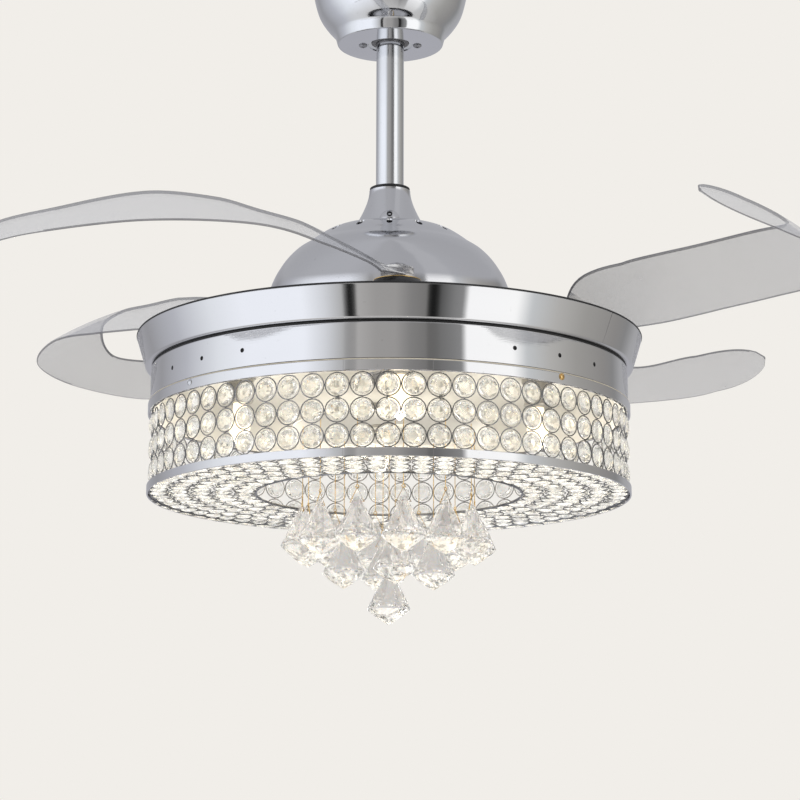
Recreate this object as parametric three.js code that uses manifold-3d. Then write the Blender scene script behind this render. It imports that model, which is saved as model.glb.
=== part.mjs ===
// Ceiling fan whose four clear blades swing in over the housing, above a drum lamp of faceted
// glass beads with three tiers of hanging glass drops.
//
// Heights are measured upwards from the lower edge of the lamp drum, along the axis that the down
// rod, motor and lamp share. The finished group is lowered so that the ceiling plane is z = 0.
// Every size is in millimetres.
import * as THREE from 'three';
import { mergeVertices } from 'three/addons/utils/BufferGeometryUtils.js';
import Module from 'manifold-3d';

// ------------------------------------------------------------------ sizes shared by the pieces
const GAP = 0.3; // room left between two pieces that touch
const SHEET = 1.5; // wall of the pressed covers
const SIDES = 32; // flats round a large turned piece
const ROD_SIDES = 16; // flats round the down rod and what fits on it
const SMALL_SIDES = 10; // flats round a small turned piece

// lamp drum
const DRUM_RADIUS = 241.5;
const LOWER_TRIM_HEIGHT = 8;
const UPPER_TRIM_HEIGHT = 10;
const UPPER_TRIM_WALL = 1.9;
const TRIM_WALL = 1.6;
const TRIM_LEDGE = 11; // how far the lower trim's ledge reaches in
const TRIM_LEDGE_THICKNESS = 1.4;
const BEAD_ROWS = 3;
const BEAD_PITCH = 24; // height of one row of beads
const BEAD_COLUMNS = 63;
const BEAD_RIM = 4.6; // thickness of a bead at its rim
const BEAD_CROWN = 1.6; // how far a bead's crown stands over its rim
const BEAD_INSET = 4.6; // from the drum's outside in to the middle of the wall's beads
const FLOOR_OPENING_RADIUS = 133;
const FLOOR_REACH = 3.6; // room between the floor of beads and the trim's outer face
const FLOOR_RIM = 4.4;

// lamp body, tray and the stack on the hollow shaft
const BODY_TOP = 126;
const BODY_HOLE_RADIUS = 2.2;
const BODY_HOLE_DROP = 18.5; // from the body's top down to its ring of holes
const BODY_HOLE_ANGLES = [29.4, 42.3, 55.2]; // repeated in each quarter, from the front
const BODY_HOLE_TURN = 90;
const SPACER_THICKNESS = 1.4;
const SPACER_INSET = 1; // from the body's outside in to the spacer's edge
const TRAY_OVERHANG = 3; // how far the tray's foot stands out over the drum
const TRAY_FLARE = 9.3; // how far its rim stands out over its foot
const TRAY_WALL = 1.2;
const TRAY_HEIGHT = 31;
const TRAY_LIP = 2.2;
const SHAFT_RADIUS = 10;
const SHAFT_BORE = 6.5;
const THREAD_RADIUS = 9.5;
const SHOULDER_RADIUS = 18;
const SHOULDER_HEIGHT = 20;
const NUT_RADIUS = 17;
const NUT_HEIGHT = 8;
const NUT_TAIL = 4; // thread that shows under the nut

// rotor
const CARRIER_HEIGHT = 160; // height of the carrier's lower face
const CARRIER_THICKNESS = 4;
const CARRIER_HUB_RADIUS = 100;
const CARRIER_ARM_WIDTH = 58;
const CARRIER_EYE_RADIUS = 29;
const CARRIER_WINDOW_RADIUS = 13;
const CARRIER_WINDOW_PLACE = 66; // distance of the lightening holes from the axis
const CASE_RADIUS = 88;
const CASE_HEIGHT = 84;
const CASE_SHOULDER = 14;
const ROTOR_TURN = 2.4; // how far round the rotor stands at rest, in degrees

// blades
const BLADES = 4;
const PIVOT_RADIUS = 190; // distance of a blade's pivot from the axis
const CUP_HEIGHT = 12; // spring cup between the carrier and a blade
const CUP_RADIUS = 28;
const CUP_LIP_RADIUS = 22.5;
const CUP_RIM = 5.5; // height of its straight rim, under the sloping sides
const CUP_SIDES = 12;
const BOSS_HEIGHT = 12;
const BOSS_RADIUS = 16;
const PIN_RADIUS = 5;
const PIN_HEAD_RADIUS = 8.5;
const PIN_HEAD_HEIGHT = 3;
const PIN_NUT_HEIGHT = 4;
const BLADE_THICKNESS = 3;
const BLADE_HALF_WIDTH = 42.5;
const BLADE_CAMBER = 0.05; // rise of the blade's middle over its edges, as a share of half its width
const BLADE_STEPS = 18;
const BLADE_RISE = 8; // the blade's own middle over the foot of its boss
// Angle that each blade has swung out from its folded place, counted clockwise from the one on the
// right as it is seen from above.
const BLADE_SWINGS = [79.6, 70.9, 70, 78.8];
const BLADE_SPREAD = 68; // how far the tip of a folded blade lies outside the circle of the pivots
const BLADE_LIFT = 22.5; // how high its crest lies over its root
// The folded blade lies round the housing. Each station gives the angle it has wrapped round the
// axis, how far it lies outside the circle of the pivots as a share of the tip's, how high it is as
// a share of the crest's, its half width as a share of the widest, and its pitch in degrees.
const BLADE_STATIONS = [
  { wrap: 0, outside: 0, rise: 0, width: 0.36, pitch: 20 },
  { wrap: 10, outside: -0.397, rise: 0.489, width: 0.82, pitch: 33 },
  { wrap: 25, outside: -0.397, rise: 0.711, width: 0.88, pitch: 32 },
  { wrap: 43, outside: -0.309, rise: 0.867, width: 1, pitch: 29 },
  { wrap: 62, outside: 0.029, rise: 1, width: 1, pitch: 28 },
  { wrap: 84, outside: 0.471, rise: 0.822, width: 0.85, pitch: 33 },
  { wrap: 107, outside: 0.75, rise: 0.422, width: 0.51, pitch: 39 },
  { wrap: 129, outside: 0.765, rise: 0.511, width: 0.46, pitch: 43 },
  { wrap: 148, outside: 1, rise: 0.733, width: 0.03, pitch: 45 },
];

// dome over the motor, collar and down rod
const DOME_TOP = 277.4;
const DOME_HEM = 178; // height of the dome's lower edge
const DOME_HEM_RADIUS = 124.6;
// Radius as a share of the hem's and drop as a share of the dome's height, from the collar's foot
// outwards.
const DOME_OUTLINE = [
  [0.41, 0.02], [0.54, 0.075], [0.69, 0.21], [0.77, 0.278], [0.867, 0.415], [0.947, 0.585],
  [0.983, 0.732],
];
const VENT_SLOTS = 15; // short slots that point away from the axis, the first one at the front
const VENT_PLACE = 70.5; // distance of their middles from the axis
const VENT_LENGTH = 12;
const VENT_WIDTH = 5;
const COLLAR_HEIGHT = 39.6;
const COLLAR_FOOT = 36.3;
const COLLAR_NECK = 20.9;
const COLLAR_WAIST = 21; // radius of the hollow curve's guide point
const COLLAR_STUD_RADIUS = 10.4;
const FLANGE_RADIUS = 30;
const FLANGE_THICKNESS = 3.2;
const YOKE_WALL = 3;
const YOKE_DROP = 5; // from the collar's top down to the yoke's
const YOKE_DEPTH = 30; // how far the down rod reaches into the yoke
const GASKET_HEIGHT = 3;
const GASKET_OVERLAP = 5.95; // how far the gasket reaches out over the rod
const ROD_RADIUS = 14.15;
const ROD_WALL = 2;
const CROSS_PIN_RADIUS = 3;
const BOLT_HEAD_RADIUS = 5.5;
const BOLT_HEAD_HEIGHT = 2.6;

// canopy and hanger
const CANOPY_SIDES = 24;
const CANOPY_FACE = 473.8; // height of the canopy's flat lower face
const CANOPY_HEIGHT = 86.2;
const CANOPY_FACE_RADIUS = 54.2;
const CANOPY_HOLE_RADIUS = 23;
// Radius and height over the lower face, from the neck's top to the ceiling.
const CANOPY_BOWL = [[57.2, 10], [66.3, 20.2], [73.6, 32.2], [78.4, 49.2], [80, 62.8]];
const BALL_RADIUS = 24;
const BALL_RISE = 34.2; // the ball's centre over the canopy's lower face
const BALL_FACE = 16; // radius of the ball's flat ends
const ROD_OVER_BALL = 4;
const CRADLE_WALL = 4.5;
const CRADLE_DROP = 18; // cradle's foot under the ball's centre
const CRADLE_RIM = 8; // cradle's rim under the ball's centre
const PLATE_LENGTH = 112;
const PLATE_WIDTH = 34;
const PLATE_THICKNESS = 3;
const PLATE_HOLE_RADIUS = 8; // hole for the supply wires
const PLATE_HOLE_PLACE = 18;
const PLATE_SLOT_PLACE = 46; // slots for the screws into the ceiling
const PLATE_SLOT_LENGTH = 13;
const PLATE_SLOT_WIDTH = 5.5;
const ARM_PLACE = 36; // distance of the bracket's arms from the axis
const ARM_WIDTH = 14;
const FOOT_LENGTH = 15;
const SCREW_PLACE = 28; // distance of the canopy's two screws from the axis
const SCREW_RADIUS = 2.2;
const SCREW_HEAD_RADIUS = 4.4;
const SCREW_HEAD_HEIGHT = 2;

// lights inside the drum
const LAMPS = 4;
const LAMP_PLACE = 150;
const LAMP_TURN = 4; // degrees
const HOLDER_RADIUS = 14;
const HOLDER_HEIGHT = 30;
const BULB_RADIUS = 11;
const BULB_HEIGHT = 44;

// hanging drops
const DROP_RADIUS = 21.5;
const DROP_TABLE_RADIUS = 2.8;
const DROP_CROWN_HEIGHT = 38;
const DROP_GIRDLE_HEIGHT = 2;
const DROP_HEIGHT = 54;
const DROP_SIDES = 8;
const DROP_EYE_DEPTH = 5; // hole under the drop's top
const DROP_EYE_RADIUS = 1.6;
const BAIL_THICKNESS = 1.3;
const BAIL_HEIGHT = 14;
const BAIL_HALF_WIDTH = 8.6;
const WIRE_RADIUS = 0.8;
const FRAME_HEIGHT = 70;
const FRAME_RADIUS = 97;
const FRAME_THICKNESS = 1.5;
const FRAME_HOLE_RADIUS = 30;
const POST_RADIUS = 3;
const POST_PLACE = 62;
const POSTS = 3;
const OUTER_TIER_PLACE = 87; // distance of the outer drops from the axis
const INNER_TIER_PLACE = 45;
const OUTER_TIER_TOP = -12; // height of their tops
const INNER_TIER_TOP = -38;
const CENTRE_TOP = -73;
// Each tier: how many drops, how far out they hang, the height of their tops and the first angle.
const TIERS = [
  { name: 'outer_drop', count: 12, place: OUTER_TIER_PLACE, top: OUTER_TIER_TOP, turn: 9.5 },
  { name: 'inner_drop', count: 4, place: INNER_TIER_PLACE, top: INNER_TIER_TOP, turn: 8 },
  { name: 'centre_drop', count: 1, place: 0, top: CENTRE_TOP, turn: 8 },
];

// ------------------------------------------------------------------ sizes that follow
const CEILING = CANOPY_FACE + CANOPY_HEIGHT;
const BALL_HEIGHT = CANOPY_FACE + BALL_RISE;
const BODY_RADIUS = DRUM_RADIUS - UPPER_TRIM_WALL - GAP;
const SPACER_RADIUS = BODY_RADIUS - SPACER_INSET;
const TRAY_FOOT_RADIUS = DRUM_RADIUS + TRAY_OVERHANG;
const TRAY_RIM_RADIUS = TRAY_FOOT_RADIUS + TRAY_FLARE;
const DRUM_TOP = LOWER_TRIM_HEIGHT + BEAD_ROWS * BEAD_PITCH + UPPER_TRIM_HEIGHT;
const UPPER_TRIM_FOOT = DRUM_TOP - UPPER_TRIM_HEIGHT;
const TRAY_FOOT = BODY_TOP + SPACER_THICKNESS + 2 * GAP;
const CARRIER_TOP = CARRIER_HEIGHT + CARRIER_THICKNESS;
const CUP_FOOT = CARRIER_TOP + GAP;
const BOSS_FOOT = CUP_FOOT + CUP_HEIGHT + GAP;
const COLLAR_TOP = DOME_TOP + COLLAR_HEIGHT;
const FLANGE_TOP = DOME_TOP - SHEET - GAP;
const YOKE_RADIUS = ROD_RADIUS + GAP + YOKE_WALL;
const YOKE_TOP = COLLAR_TOP - YOKE_DROP;
const ROD_FOOT = YOKE_TOP - YOKE_DEPTH + GAP;
const BOLT_HEIGHT = (YOKE_TOP + ROD_FOOT) / 2;

// ------------------------------------------------------------------ materials
const finish = (color, metalness, roughness, extra = {}) =>
  new THREE.MeshStandardMaterial({ color, metalness, roughness, ...extra });
const chrome = finish(0xc9ccd1, 1, 0.12);
const polishedSteel = finish(0xb9bbbf, 1, 0.22);
const zinc = finish(0x9b9da1, 1, 0.45);
const castAluminium = finish(0x8f9194, 1, 0.55);
const gold = finish(0xd9a557, 1, 0.3);
const blackRubber = finish(0x111214, 0, 0.7);
const blackPlastic = finish(0x1b1c1f, 0, 0.5);
const clearPlastic = finish(0xb4b4b6, 0, 0.15, { transparent: true, opacity: 0.55 });
const crystal = finish(0xf2f1ea, 0, 0.05, { transparent: true, opacity: 0.5 });
const litGlass = finish(0xfff4dc, 0, 0.4);

// ------------------------------------------------------------------ shape helpers
const wasm = await Module();
wasm.setup();

const radians = (degrees) => THREE.MathUtils.degToRad(degrees);

/** Turns an angle counted anticlockwise from the front (-Y) into one counted from +X. */
const fromFront = (degrees) => radians(degrees - 90);

/** Volume inside a closed indexed mesh, negative when its faces point in. */
function signedVolume(positions, index) {
  const [a, b, c] = [new THREE.Vector3(), new THREE.Vector3(), new THREE.Vector3()];
  let sum = 0;
  for (let i = 0; i < index.length; i += 3) {
    a.fromArray(positions, 3 * index[i]);
    b.fromArray(positions, 3 * index[i + 1]);
    c.fromArray(positions, 3 * index[i + 2]);
    sum += a.dot(b.cross(c)) / 6;
  }
  return sum;
}

/** Merges the shared corners, drops the flat triangles and turns every face outwards. */
function weld(geometry) {
  const bare = geometry.clone();
  for (const name of Object.keys(bare.attributes)) {
    if (name !== 'position') bare.deleteAttribute(name);
  }
  const merged = mergeVertices(bare, 1e-4);
  const source = merged.index.array;
  const index = [];
  for (let i = 0; i < source.length; i += 3) {
    const [a, b, c] = [source[i], source[i + 1], source[i + 2]];
    if (a !== b && b !== c && c !== a) index.push(a, b, c);
  }
  if (signedVolume(merged.attributes.position.array, index) < 0) index.reverse();
  merged.setIndex(index);
  return merged;
}

/** Closed solid made of one geometry. */
function solid(geometry) {
  const mesh = weld(geometry);
  return new wasm.Manifold(new wasm.Mesh({
    numProp: 3,
    vertProperties: new Float32Array(mesh.attributes.position.array),
    triVerts: new Uint32Array(mesh.index.array),
  }));
}

function fromSolid(body) {
  const mesh = body.getMesh();
  const geometry = new THREE.BufferGeometry();
  geometry.setAttribute('position', new THREE.BufferAttribute(mesh.vertProperties, 3));
  geometry.setIndex(new THREE.BufferAttribute(mesh.triVerts, 1));
  return geometry;
}

/** One body out of several that overlap. */
const join = (...geometries) => fromSolid(geometries.map(solid).reduce((all, one) => all.add(one)));

/** What is left of a body once the tools are taken away. */
const cut = (body, ...tools) =>
  fromSolid(tools.reduce((rest, tool) => rest.subtract(solid(tool)), solid(body)));

/** Turned piece about Z. The profile is a list of [radius, height], closed here if it is open. */
function revolve(profile, sides = SIDES) {
  const points = profile.map(([radius, height]) => new THREE.Vector2(radius, height));
  const onAxis = profile[0][0] === 0 && profile[profile.length - 1][0] === 0;
  if (!onAxis) points.push(points[0].clone());
  return weld(new THREE.LatheGeometry(points, sides).rotateX(Math.PI / 2));
}

/** Plain ring between two radii and two heights. */
const ring = (inner, outer, foot, top, sides = SIDES) =>
  revolve([[inner, foot], [outer, foot], [outer, top], [inner, top]], sides);

/** Radius of a bore whose flats clear a pin of the given radius. */
const bored = (radius, sides = SMALL_SIDES) => (radius + GAP) / Math.cos(Math.PI / sides);

/** Upright rod between two heights. */
function post(radius, foot, top, x = 0, y = 0, sides = SMALL_SIDES) {
  const rod = new THREE.CylinderGeometry(radius, radius, top - foot, sides);
  return rod.rotateX(Math.PI / 2).translate(x, y, (foot + top) / 2);
}

/** Rod that lies along Y through the axis. */
const crossRod = (radius, length, height, sides = SMALL_SIDES) =>
  new THREE.CylinderGeometry(radius, radius, length, sides).translate(0, 0, height);

/** Box between two heights, centred at x, y. */
const block = (length, width, foot, top, x = 0, y = 0) =>
  new THREE.BoxGeometry(length, width, top - foot).translate(x, y, (foot + top) / 2);

/** Flat plate with a plan outline, between two heights. */
function plate(shape, foot, thickness, curveSegments = 6) {
  const options = { depth: thickness, bevelEnabled: false, curveSegments };
  return new THREE.ExtrudeGeometry(shape, options).translate(0, 0, foot);
}

/** Slot with round ends along X, as a tool that stands on a height. */
function oblong(length, width, foot, x, height) {
  const [half, radius] = [(length - width) / 2, width / 2];
  const outline = new THREE.Shape();
  outline.absarc(half, 0, radius, -Math.PI / 2, Math.PI / 2, false);
  outline.absarc(-half, 0, radius, Math.PI / 2, 1.5 * Math.PI, false);
  outline.closePath();
  return plate(outline, foot, height, 2).translate(x, 0, 0);
}

/** Profile of a pressed cover: an outline, walked with the inside on its left, and its inner copy. */
function sheet(outline, thickness = SHEET) {
  const points = outline.map(([radius, height]) => new THREE.Vector2(radius, height));
  const left = (from, to) => {
    const along = to.clone().sub(from).normalize();
    return new THREE.Vector2(-along.y, along.x);
  };
  const inner = points.map((point, i) => {
    const before = i > 0 ? left(points[i - 1], point) : left(point, points[1]);
    const after = i < points.length - 1 ? left(point, points[i + 1]) : before;
    const miter = before.clone().add(after).divideScalar(1 + before.dot(after));
    return point.clone().addScaledVector(miter, thickness);
  });
  return [...outline, ...inner.reverse().map((point) => [point.x, point.y])];
}

/** Catmull-Rom value of a list of numbers at a place that counts along the list. */
function smooth(values, place) {
  const last = values.length - 1;
  const i = Math.min(Math.floor(place), last - 1);
  const f = place - i;
  const at = (k) => {
    if (k < 0) return 2 * values[0] - values[1];
    if (k > last) return 2 * values[last] - values[last - 1];
    return values[k];
  };
  const [a, b, c, d] = [at(i - 1), at(i), at(i + 1), at(i + 2)];
  const cubic = (3 * b - a - 3 * c + d) * f * f * f;
  return 0.5 * (2 * b + (c - a) * f + (2 * a - 5 * b + 4 * c - d) * f * f + cubic);
}

/** Adds one named piece to a group. */
function piece(group, name, geometry, material) {
  const mesh = new THREE.Mesh(geometry, material.clone());
  mesh.name = name;
  geometry.computeVertexNormals();
  group.add(mesh);
  return mesh;
}

// ------------------------------------------------------------------ walls of beads
const BEAD_CORNER = Math.SQRT2 - 1; // half of an octagon's side over its half width
const BEAD_OFFSETS = [-1, -BEAD_CORNER, 0, BEAD_CORNER, 1];
// Corners of one octagonal bead, anticlockwise, as steps of BEAD_OFFSETS across and up.
const BEAD_OUTLINE = [[4, 1], [4, 3], [3, 4], [1, 4], [0, 3], [0, 1], [1, 0], [3, 0]];

/**
 * Closed ring of octagonal beads with flat backs and pointed crowns, strung to each other at their
 * four straight sides, so that a square hole is left between every four. place(u, v, w) gives a
 * point from turns round the ring, rows up it and a height over the middle of the beads' rims.
 */
function beadNet(columns, rows, rim, crown, place) {
  const corners = new Map();
  const positions = [];
  const index = [];
  const corner = (across, up, layer) => {
    const wrapped = across % (4 * columns);
    const key = `${wrapped}:${up}:${layer}`;
    if (!corners.has(key)) {
      const column = Math.floor(wrapped / 4);
      const row = Math.min(Math.floor(up / 4), rows - 1);
      const u = (column + 0.5 + BEAD_OFFSETS[wrapped - 4 * column] / 2) / columns;
      const v = row + 0.5 + BEAD_OFFSETS[up - 4 * row] / 2;
      const w = [-rim / 2, rim / 2, rim / 2 + crown][layer];
      corners.set(key, positions.length / 3);
      positions.push(...place(u, v, w));
    }
    return corners.get(key);
  };
  for (let column = 0; column < columns; column += 1) {
    for (let row = 0; row < rows; row += 1) {
      BEAD_OUTLINE.forEach(([across, up], i) => {
        const [nextAcross, nextUp] = BEAD_OUTLINE[(i + 1) % BEAD_OUTLINE.length];
        const [a, b] = [across + 4 * column, up + 4 * row];
        const [c, d] = [nextAcross + 4 * column, nextUp + 4 * row];
        const middle = [4 * column + 2, 4 * row + 2];
        index.push(corner(...middle, 2), corner(a, b, 1), corner(c, d, 1));
        if (i > 0 && i < BEAD_OUTLINE.length - 1) {
          const [firstAcross, firstUp] = BEAD_OUTLINE[0];
          index.push(corner(firstAcross + 4 * column, firstUp + 4 * row, 0), corner(c, d, 0),
            corner(a, b, 0));
        }
        const slanted = across !== nextAcross && up !== nextUp;
        const outermost = up === nextUp && (d === 0 || d === 4 * rows);
        if (slanted || outermost) {
          index.push(corner(a, b, 1), corner(a, b, 0), corner(c, d, 0));
          index.push(corner(a, b, 1), corner(c, d, 0), corner(c, d, 1));
        }
      });
    }
  }
  const geometry = new THREE.BufferGeometry();
  geometry.setAttribute('position', new THREE.Float32BufferAttribute(positions, 3));
  geometry.setIndex(index);
  return geometry;
}

/** Wall of strung beads between the two trims. */
function beadWall() {
  const foot = LOWER_TRIM_HEIGHT + GAP;
  const pitch = (UPPER_TRIM_FOOT - GAP - foot) / BEAD_ROWS;
  return beadNet(BEAD_COLUMNS, BEAD_ROWS, BEAD_RIM, BEAD_CROWN, (u, v, w) => {
    const angle = 2 * Math.PI * u;
    const radius = DRUM_RADIUS - BEAD_INSET + w;
    return [radius * Math.cos(angle), radius * Math.sin(angle), foot + pitch * v];
  });
}

function beadFloor() {
  const top = LOWER_TRIM_HEIGHT - TRIM_LEDGE_THICKNESS - GAP;
  return ring(FLOOR_OPENING_RADIUS, DRUM_RADIUS - FLOOR_REACH, top - FLOOR_RIM, top);
}

// ------------------------------------------------------------------ lamp drum
/** Trim round the drum's foot, with the ledge that carries the wall and the floor of beads. */
function lowerTrim() {
  const ledge = LOWER_TRIM_HEIGHT - TRIM_LEDGE_THICKNESS;
  const inner = DRUM_RADIUS - TRIM_WALL;
  return revolve([
    [inner, 0], [DRUM_RADIUS, 0], [DRUM_RADIUS, LOWER_TRIM_HEIGHT],
    [DRUM_RADIUS - TRIM_LEDGE, LOWER_TRIM_HEIGHT], [DRUM_RADIUS - TRIM_LEDGE, ledge], [inner, ledge],
  ]);
}

/** Trim round the drum's top, which laps the foot of the lamp body. */
function upperTrim() {
  return ring(BODY_RADIUS + GAP, DRUM_RADIUS, UPPER_TRIM_FOOT, DRUM_TOP);
}

/** Lamp body: a pressed pan, open below, with small screw holes round its wall. */
function lampBody() {
  const pan = revolve(sheet([
    [BODY_RADIUS, UPPER_TRIM_FOOT], [BODY_RADIUS, BODY_TOP], [THREAD_RADIUS + GAP, BODY_TOP],
  ]));
  const holes = [];
  for (let quarter = 0; quarter < 4; quarter += 1) {
    for (const angle of BODY_HOLE_ANGLES) {
      const turn = fromFront(angle + quarter * BODY_HOLE_TURN);
      const drill = new THREE.CylinderGeometry(BODY_HOLE_RADIUS, BODY_HOLE_RADIUS, 6 * SHEET, 5);
      drill.rotateZ(Math.PI / 2).translate(BODY_RADIUS, 0, BODY_TOP - BODY_HOLE_DROP);
      holes.push(drill.rotateZ(turn));
    }
  }
  return cut(pan, ...holes);
}

/** Flared tray that the blades fold over, with its lip turned in. */
function tray() {
  const foot = TRAY_FOOT;
  const rim = foot + TRAY_HEIGHT;
  return revolve(sheet([
    [THREAD_RADIUS + GAP, foot], [TRAY_FOOT_RADIUS, foot],
    [TRAY_FOOT_RADIUS + 0.52 * TRAY_FLARE, foot + TRAY_HEIGHT / 2],
    [TRAY_RIM_RADIUS, rim], [TRAY_RIM_RADIUS - TRAY_LIP, rim + 0.8],
  ], TRAY_WALL));
}

/** Hexagon nut that clamps the lamp body and the tray to the shaft. */
function shaftNut() {
  const hexagon = new THREE.Shape();
  for (let side = 0; side < 6; side += 1) {
    const angle = radians(60 * side);
    const [x, y] = [NUT_RADIUS * Math.cos(angle), NUT_RADIUS * Math.sin(angle)];
    if (side === 0) hexagon.moveTo(x, y);
    else hexagon.lineTo(x, y);
  }
  hexagon.closePath();
  hexagon.holes.push(new THREE.Path().absarc(0, 0, THREAD_RADIUS + GAP, 0, 2 * Math.PI, true));
  return plate(hexagon, BODY_TOP - SHEET - GAP - NUT_HEIGHT, NUT_HEIGHT, SMALL_SIDES);
}

/** Lamp holder under the lamp body's roof. */
function lampHolder(x, y) {
  const top = BODY_TOP - SHEET - GAP;
  const foot = top - HOLDER_HEIGHT;
  const skirt = HOLDER_RADIUS + 2;
  return revolve([
    [0, foot], [HOLDER_RADIUS - 2, foot], [HOLDER_RADIUS, foot + 2], [HOLDER_RADIUS, top - 6],
    [skirt, top - 5], [skirt, top], [0, top],
  ], SMALL_SIDES).translate(x, y, 0);
}

/** Candle shaped bulb, its cap seated under the holder. */
function lampBulb(x, y) {
  const top = BODY_TOP - SHEET - 2 * GAP - HOLDER_HEIGHT;
  const outline = new THREE.SplineCurve([
    new THREE.Vector2(0.6 * BULB_RADIUS, top),
    new THREE.Vector2(0.66 * BULB_RADIUS, top - 0.2 * BULB_HEIGHT),
    new THREE.Vector2(BULB_RADIUS, top - 0.5 * BULB_HEIGHT),
    new THREE.Vector2(0.62 * BULB_RADIUS, top - 0.85 * BULB_HEIGHT),
    new THREE.Vector2(0, top - BULB_HEIGHT),
  ]).getPoints(4).map((point) => [Math.max(point.x, 0), point.y]);
  outline[outline.length - 1][0] = 0;
  return revolve([[0, top], ...outline], 8).translate(x, y, 0);
}

// ------------------------------------------------------------------ hanging drops
/** Places of one tier's drops round the axis. */
function tierPlaces(tier) {
  return Array.from({ length: tier.count }, (_, i) => {
    const angle = fromFront(tier.turn + (360 * i) / tier.count);
    return { angle, x: tier.place * Math.cos(angle), y: tier.place * Math.sin(angle) };
  });
}

/** Wire and three-cornered bail of one drop, in the plane through its own hole. */
function hanger(place, top) {
  const eye = top - DROP_EYE_DEPTH;
  const half = BAIL_THICKNESS / 2;
  const triangle = new THREE.Shape();
  triangle.moveTo(-BAIL_HALF_WIDTH, eye - half);
  triangle.lineTo(BAIL_HALF_WIDTH, eye - half);
  triangle.lineTo(0, eye + BAIL_HEIGHT + BAIL_THICKNESS);
  triangle.closePath();
  const inside = new THREE.Path();
  inside.moveTo(-BAIL_HALF_WIDTH + 2.2 * BAIL_THICKNESS, eye + half);
  inside.lineTo(0, eye + BAIL_HEIGHT - 1.2 * BAIL_THICKNESS);
  inside.lineTo(BAIL_HALF_WIDTH - 2.2 * BAIL_THICKNESS, eye + half);
  inside.closePath();
  triangle.holes.push(inside);
  const bail = new THREE.ExtrudeGeometry(triangle, { depth: BAIL_THICKNESS, bevelEnabled: false });
  bail.translate(0, 0, -half).rotateX(Math.PI / 2).rotateZ(place.angle + Math.PI / 2);
  bail.translate(place.x, place.y, 0);
  const foot = eye + BAIL_HEIGHT - BAIL_THICKNESS / 2;
  return [bail, post(WIRE_RADIUS, foot, FRAME_HEIGHT + FRAME_THICKNESS / 2, place.x, place.y, 4)];
}

/** Plate under the lamp body's roof that the drops' wires hang from. */
function dropFrame() {
  const roof = BODY_TOP - SHEET - GAP;
  const parts = [ring(FRAME_HOLE_RADIUS, FRAME_RADIUS, FRAME_HEIGHT, FRAME_HEIGHT + FRAME_THICKNESS, ROD_SIDES)];
  for (let i = 0; i < POSTS; i += 1) {
    const angle = radians(30 + (360 * i) / POSTS);
    const [x, y] = [POST_PLACE * Math.cos(angle), POST_PLACE * Math.sin(angle)];
    parts.push(post(POST_RADIUS, FRAME_HEIGHT + FRAME_THICKNESS / 2, roof, x, y, 6));
  }
  const bar = 2 * FRAME_HOLE_RADIUS + 4;
  parts.push(block(bar, 6, FRAME_HEIGHT, FRAME_HEIGHT + FRAME_THICKNESS));
  for (const tier of TIERS) {
    for (const place of tierPlaces(tier)) parts.push(...hanger(place, tier.top));
  }
  return join(...parts);
}

/** Faceted glass drop with its top at the given height and a hole across it. */
function glassDrop(place, top) {
  const girdle = top - DROP_CROWN_HEIGHT;
  const body = revolve([
    [0, top - DROP_HEIGHT], [DROP_RADIUS - 0.8, girdle - DROP_GIRDLE_HEIGHT],
    [DROP_RADIUS, girdle], [DROP_TABLE_RADIUS, top], [0, top],
  ], DROP_SIDES);
  const eye = new THREE.CylinderGeometry(DROP_EYE_RADIUS, DROP_EYE_RADIUS, DROP_RADIUS, 5);
  eye.translate(0, 0, top - DROP_EYE_DEPTH);
  return cut(body, eye).rotateZ(place.angle).translate(place.x, place.y, 0);
}

// ------------------------------------------------------------------ rotor
/** Plan outline of the carrier: a hub with an arm for each blade's pivot. */
function carrierOutline() {
  const outline = new THREE.Shape();
  const half = CARRIER_ARM_WIDTH / 2;
  const spread = Math.asin(half / CARRIER_HUB_RADIUS);
  for (let i = 0; i < BLADES; i += 1) {
    const angle = (2 * Math.PI * i) / BLADES;
    const [cos, sin] = [Math.cos(angle), Math.sin(angle)];
    const start = angle - spread;
    if (i === 0) {
      outline.moveTo(CARRIER_HUB_RADIUS * Math.cos(start), CARRIER_HUB_RADIUS * Math.sin(start));
    }
    outline.absarc(PIVOT_RADIUS * cos, PIVOT_RADIUS * sin, CARRIER_EYE_RADIUS,
      angle - 1.3, angle + 1.3, false);
    const end = angle + (2 * Math.PI) / BLADES - spread;
    outline.absarc(0, 0, CARRIER_HUB_RADIUS, angle + spread, end, false);
  }
  return outline;
}

/** Star shaped plate under the motor that carries the blades' pivots. */
function bladeCarrier() {
  const outline = carrierOutline();
  const hole = (x, y, radius) =>
    outline.holes.push(new THREE.Path().absarc(x, y, radius, 0, 2 * Math.PI, true));
  hole(0, 0, SHAFT_RADIUS + 2);
  for (let i = 0; i < BLADES; i += 1) {
    const angle = (2 * Math.PI * i) / BLADES;
    hole(PIVOT_RADIUS * Math.cos(angle), PIVOT_RADIUS * Math.sin(angle), bored(PIN_RADIUS));
    const between = angle + Math.PI / BLADES;
    const [x, y] = [Math.cos(between), Math.sin(between)];
    hole(CARRIER_WINDOW_PLACE * x, CARRIER_WINDOW_PLACE * y, CARRIER_WINDOW_RADIUS);
  }
  return plate(outline, CARRIER_HEIGHT, CARRIER_THICKNESS, SMALL_SIDES / 2);
}

/** Motor case that turns about the hollow shaft. */
function motorCase() {
  const foot = CARRIER_TOP + GAP;
  const top = foot + CASE_HEIGHT;
  const bore = SHAFT_RADIUS + GAP;
  return revolve([
    [bore, foot], [CASE_RADIUS - 4, foot], [CASE_RADIUS, foot + 4],
    [CASE_RADIUS, top - CASE_SHOULDER], [CASE_RADIUS - 6, top - CASE_SHOULDER / 2],
    [CASE_RADIUS - 22, top], [bore, top],
  ], 20);
}

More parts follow.
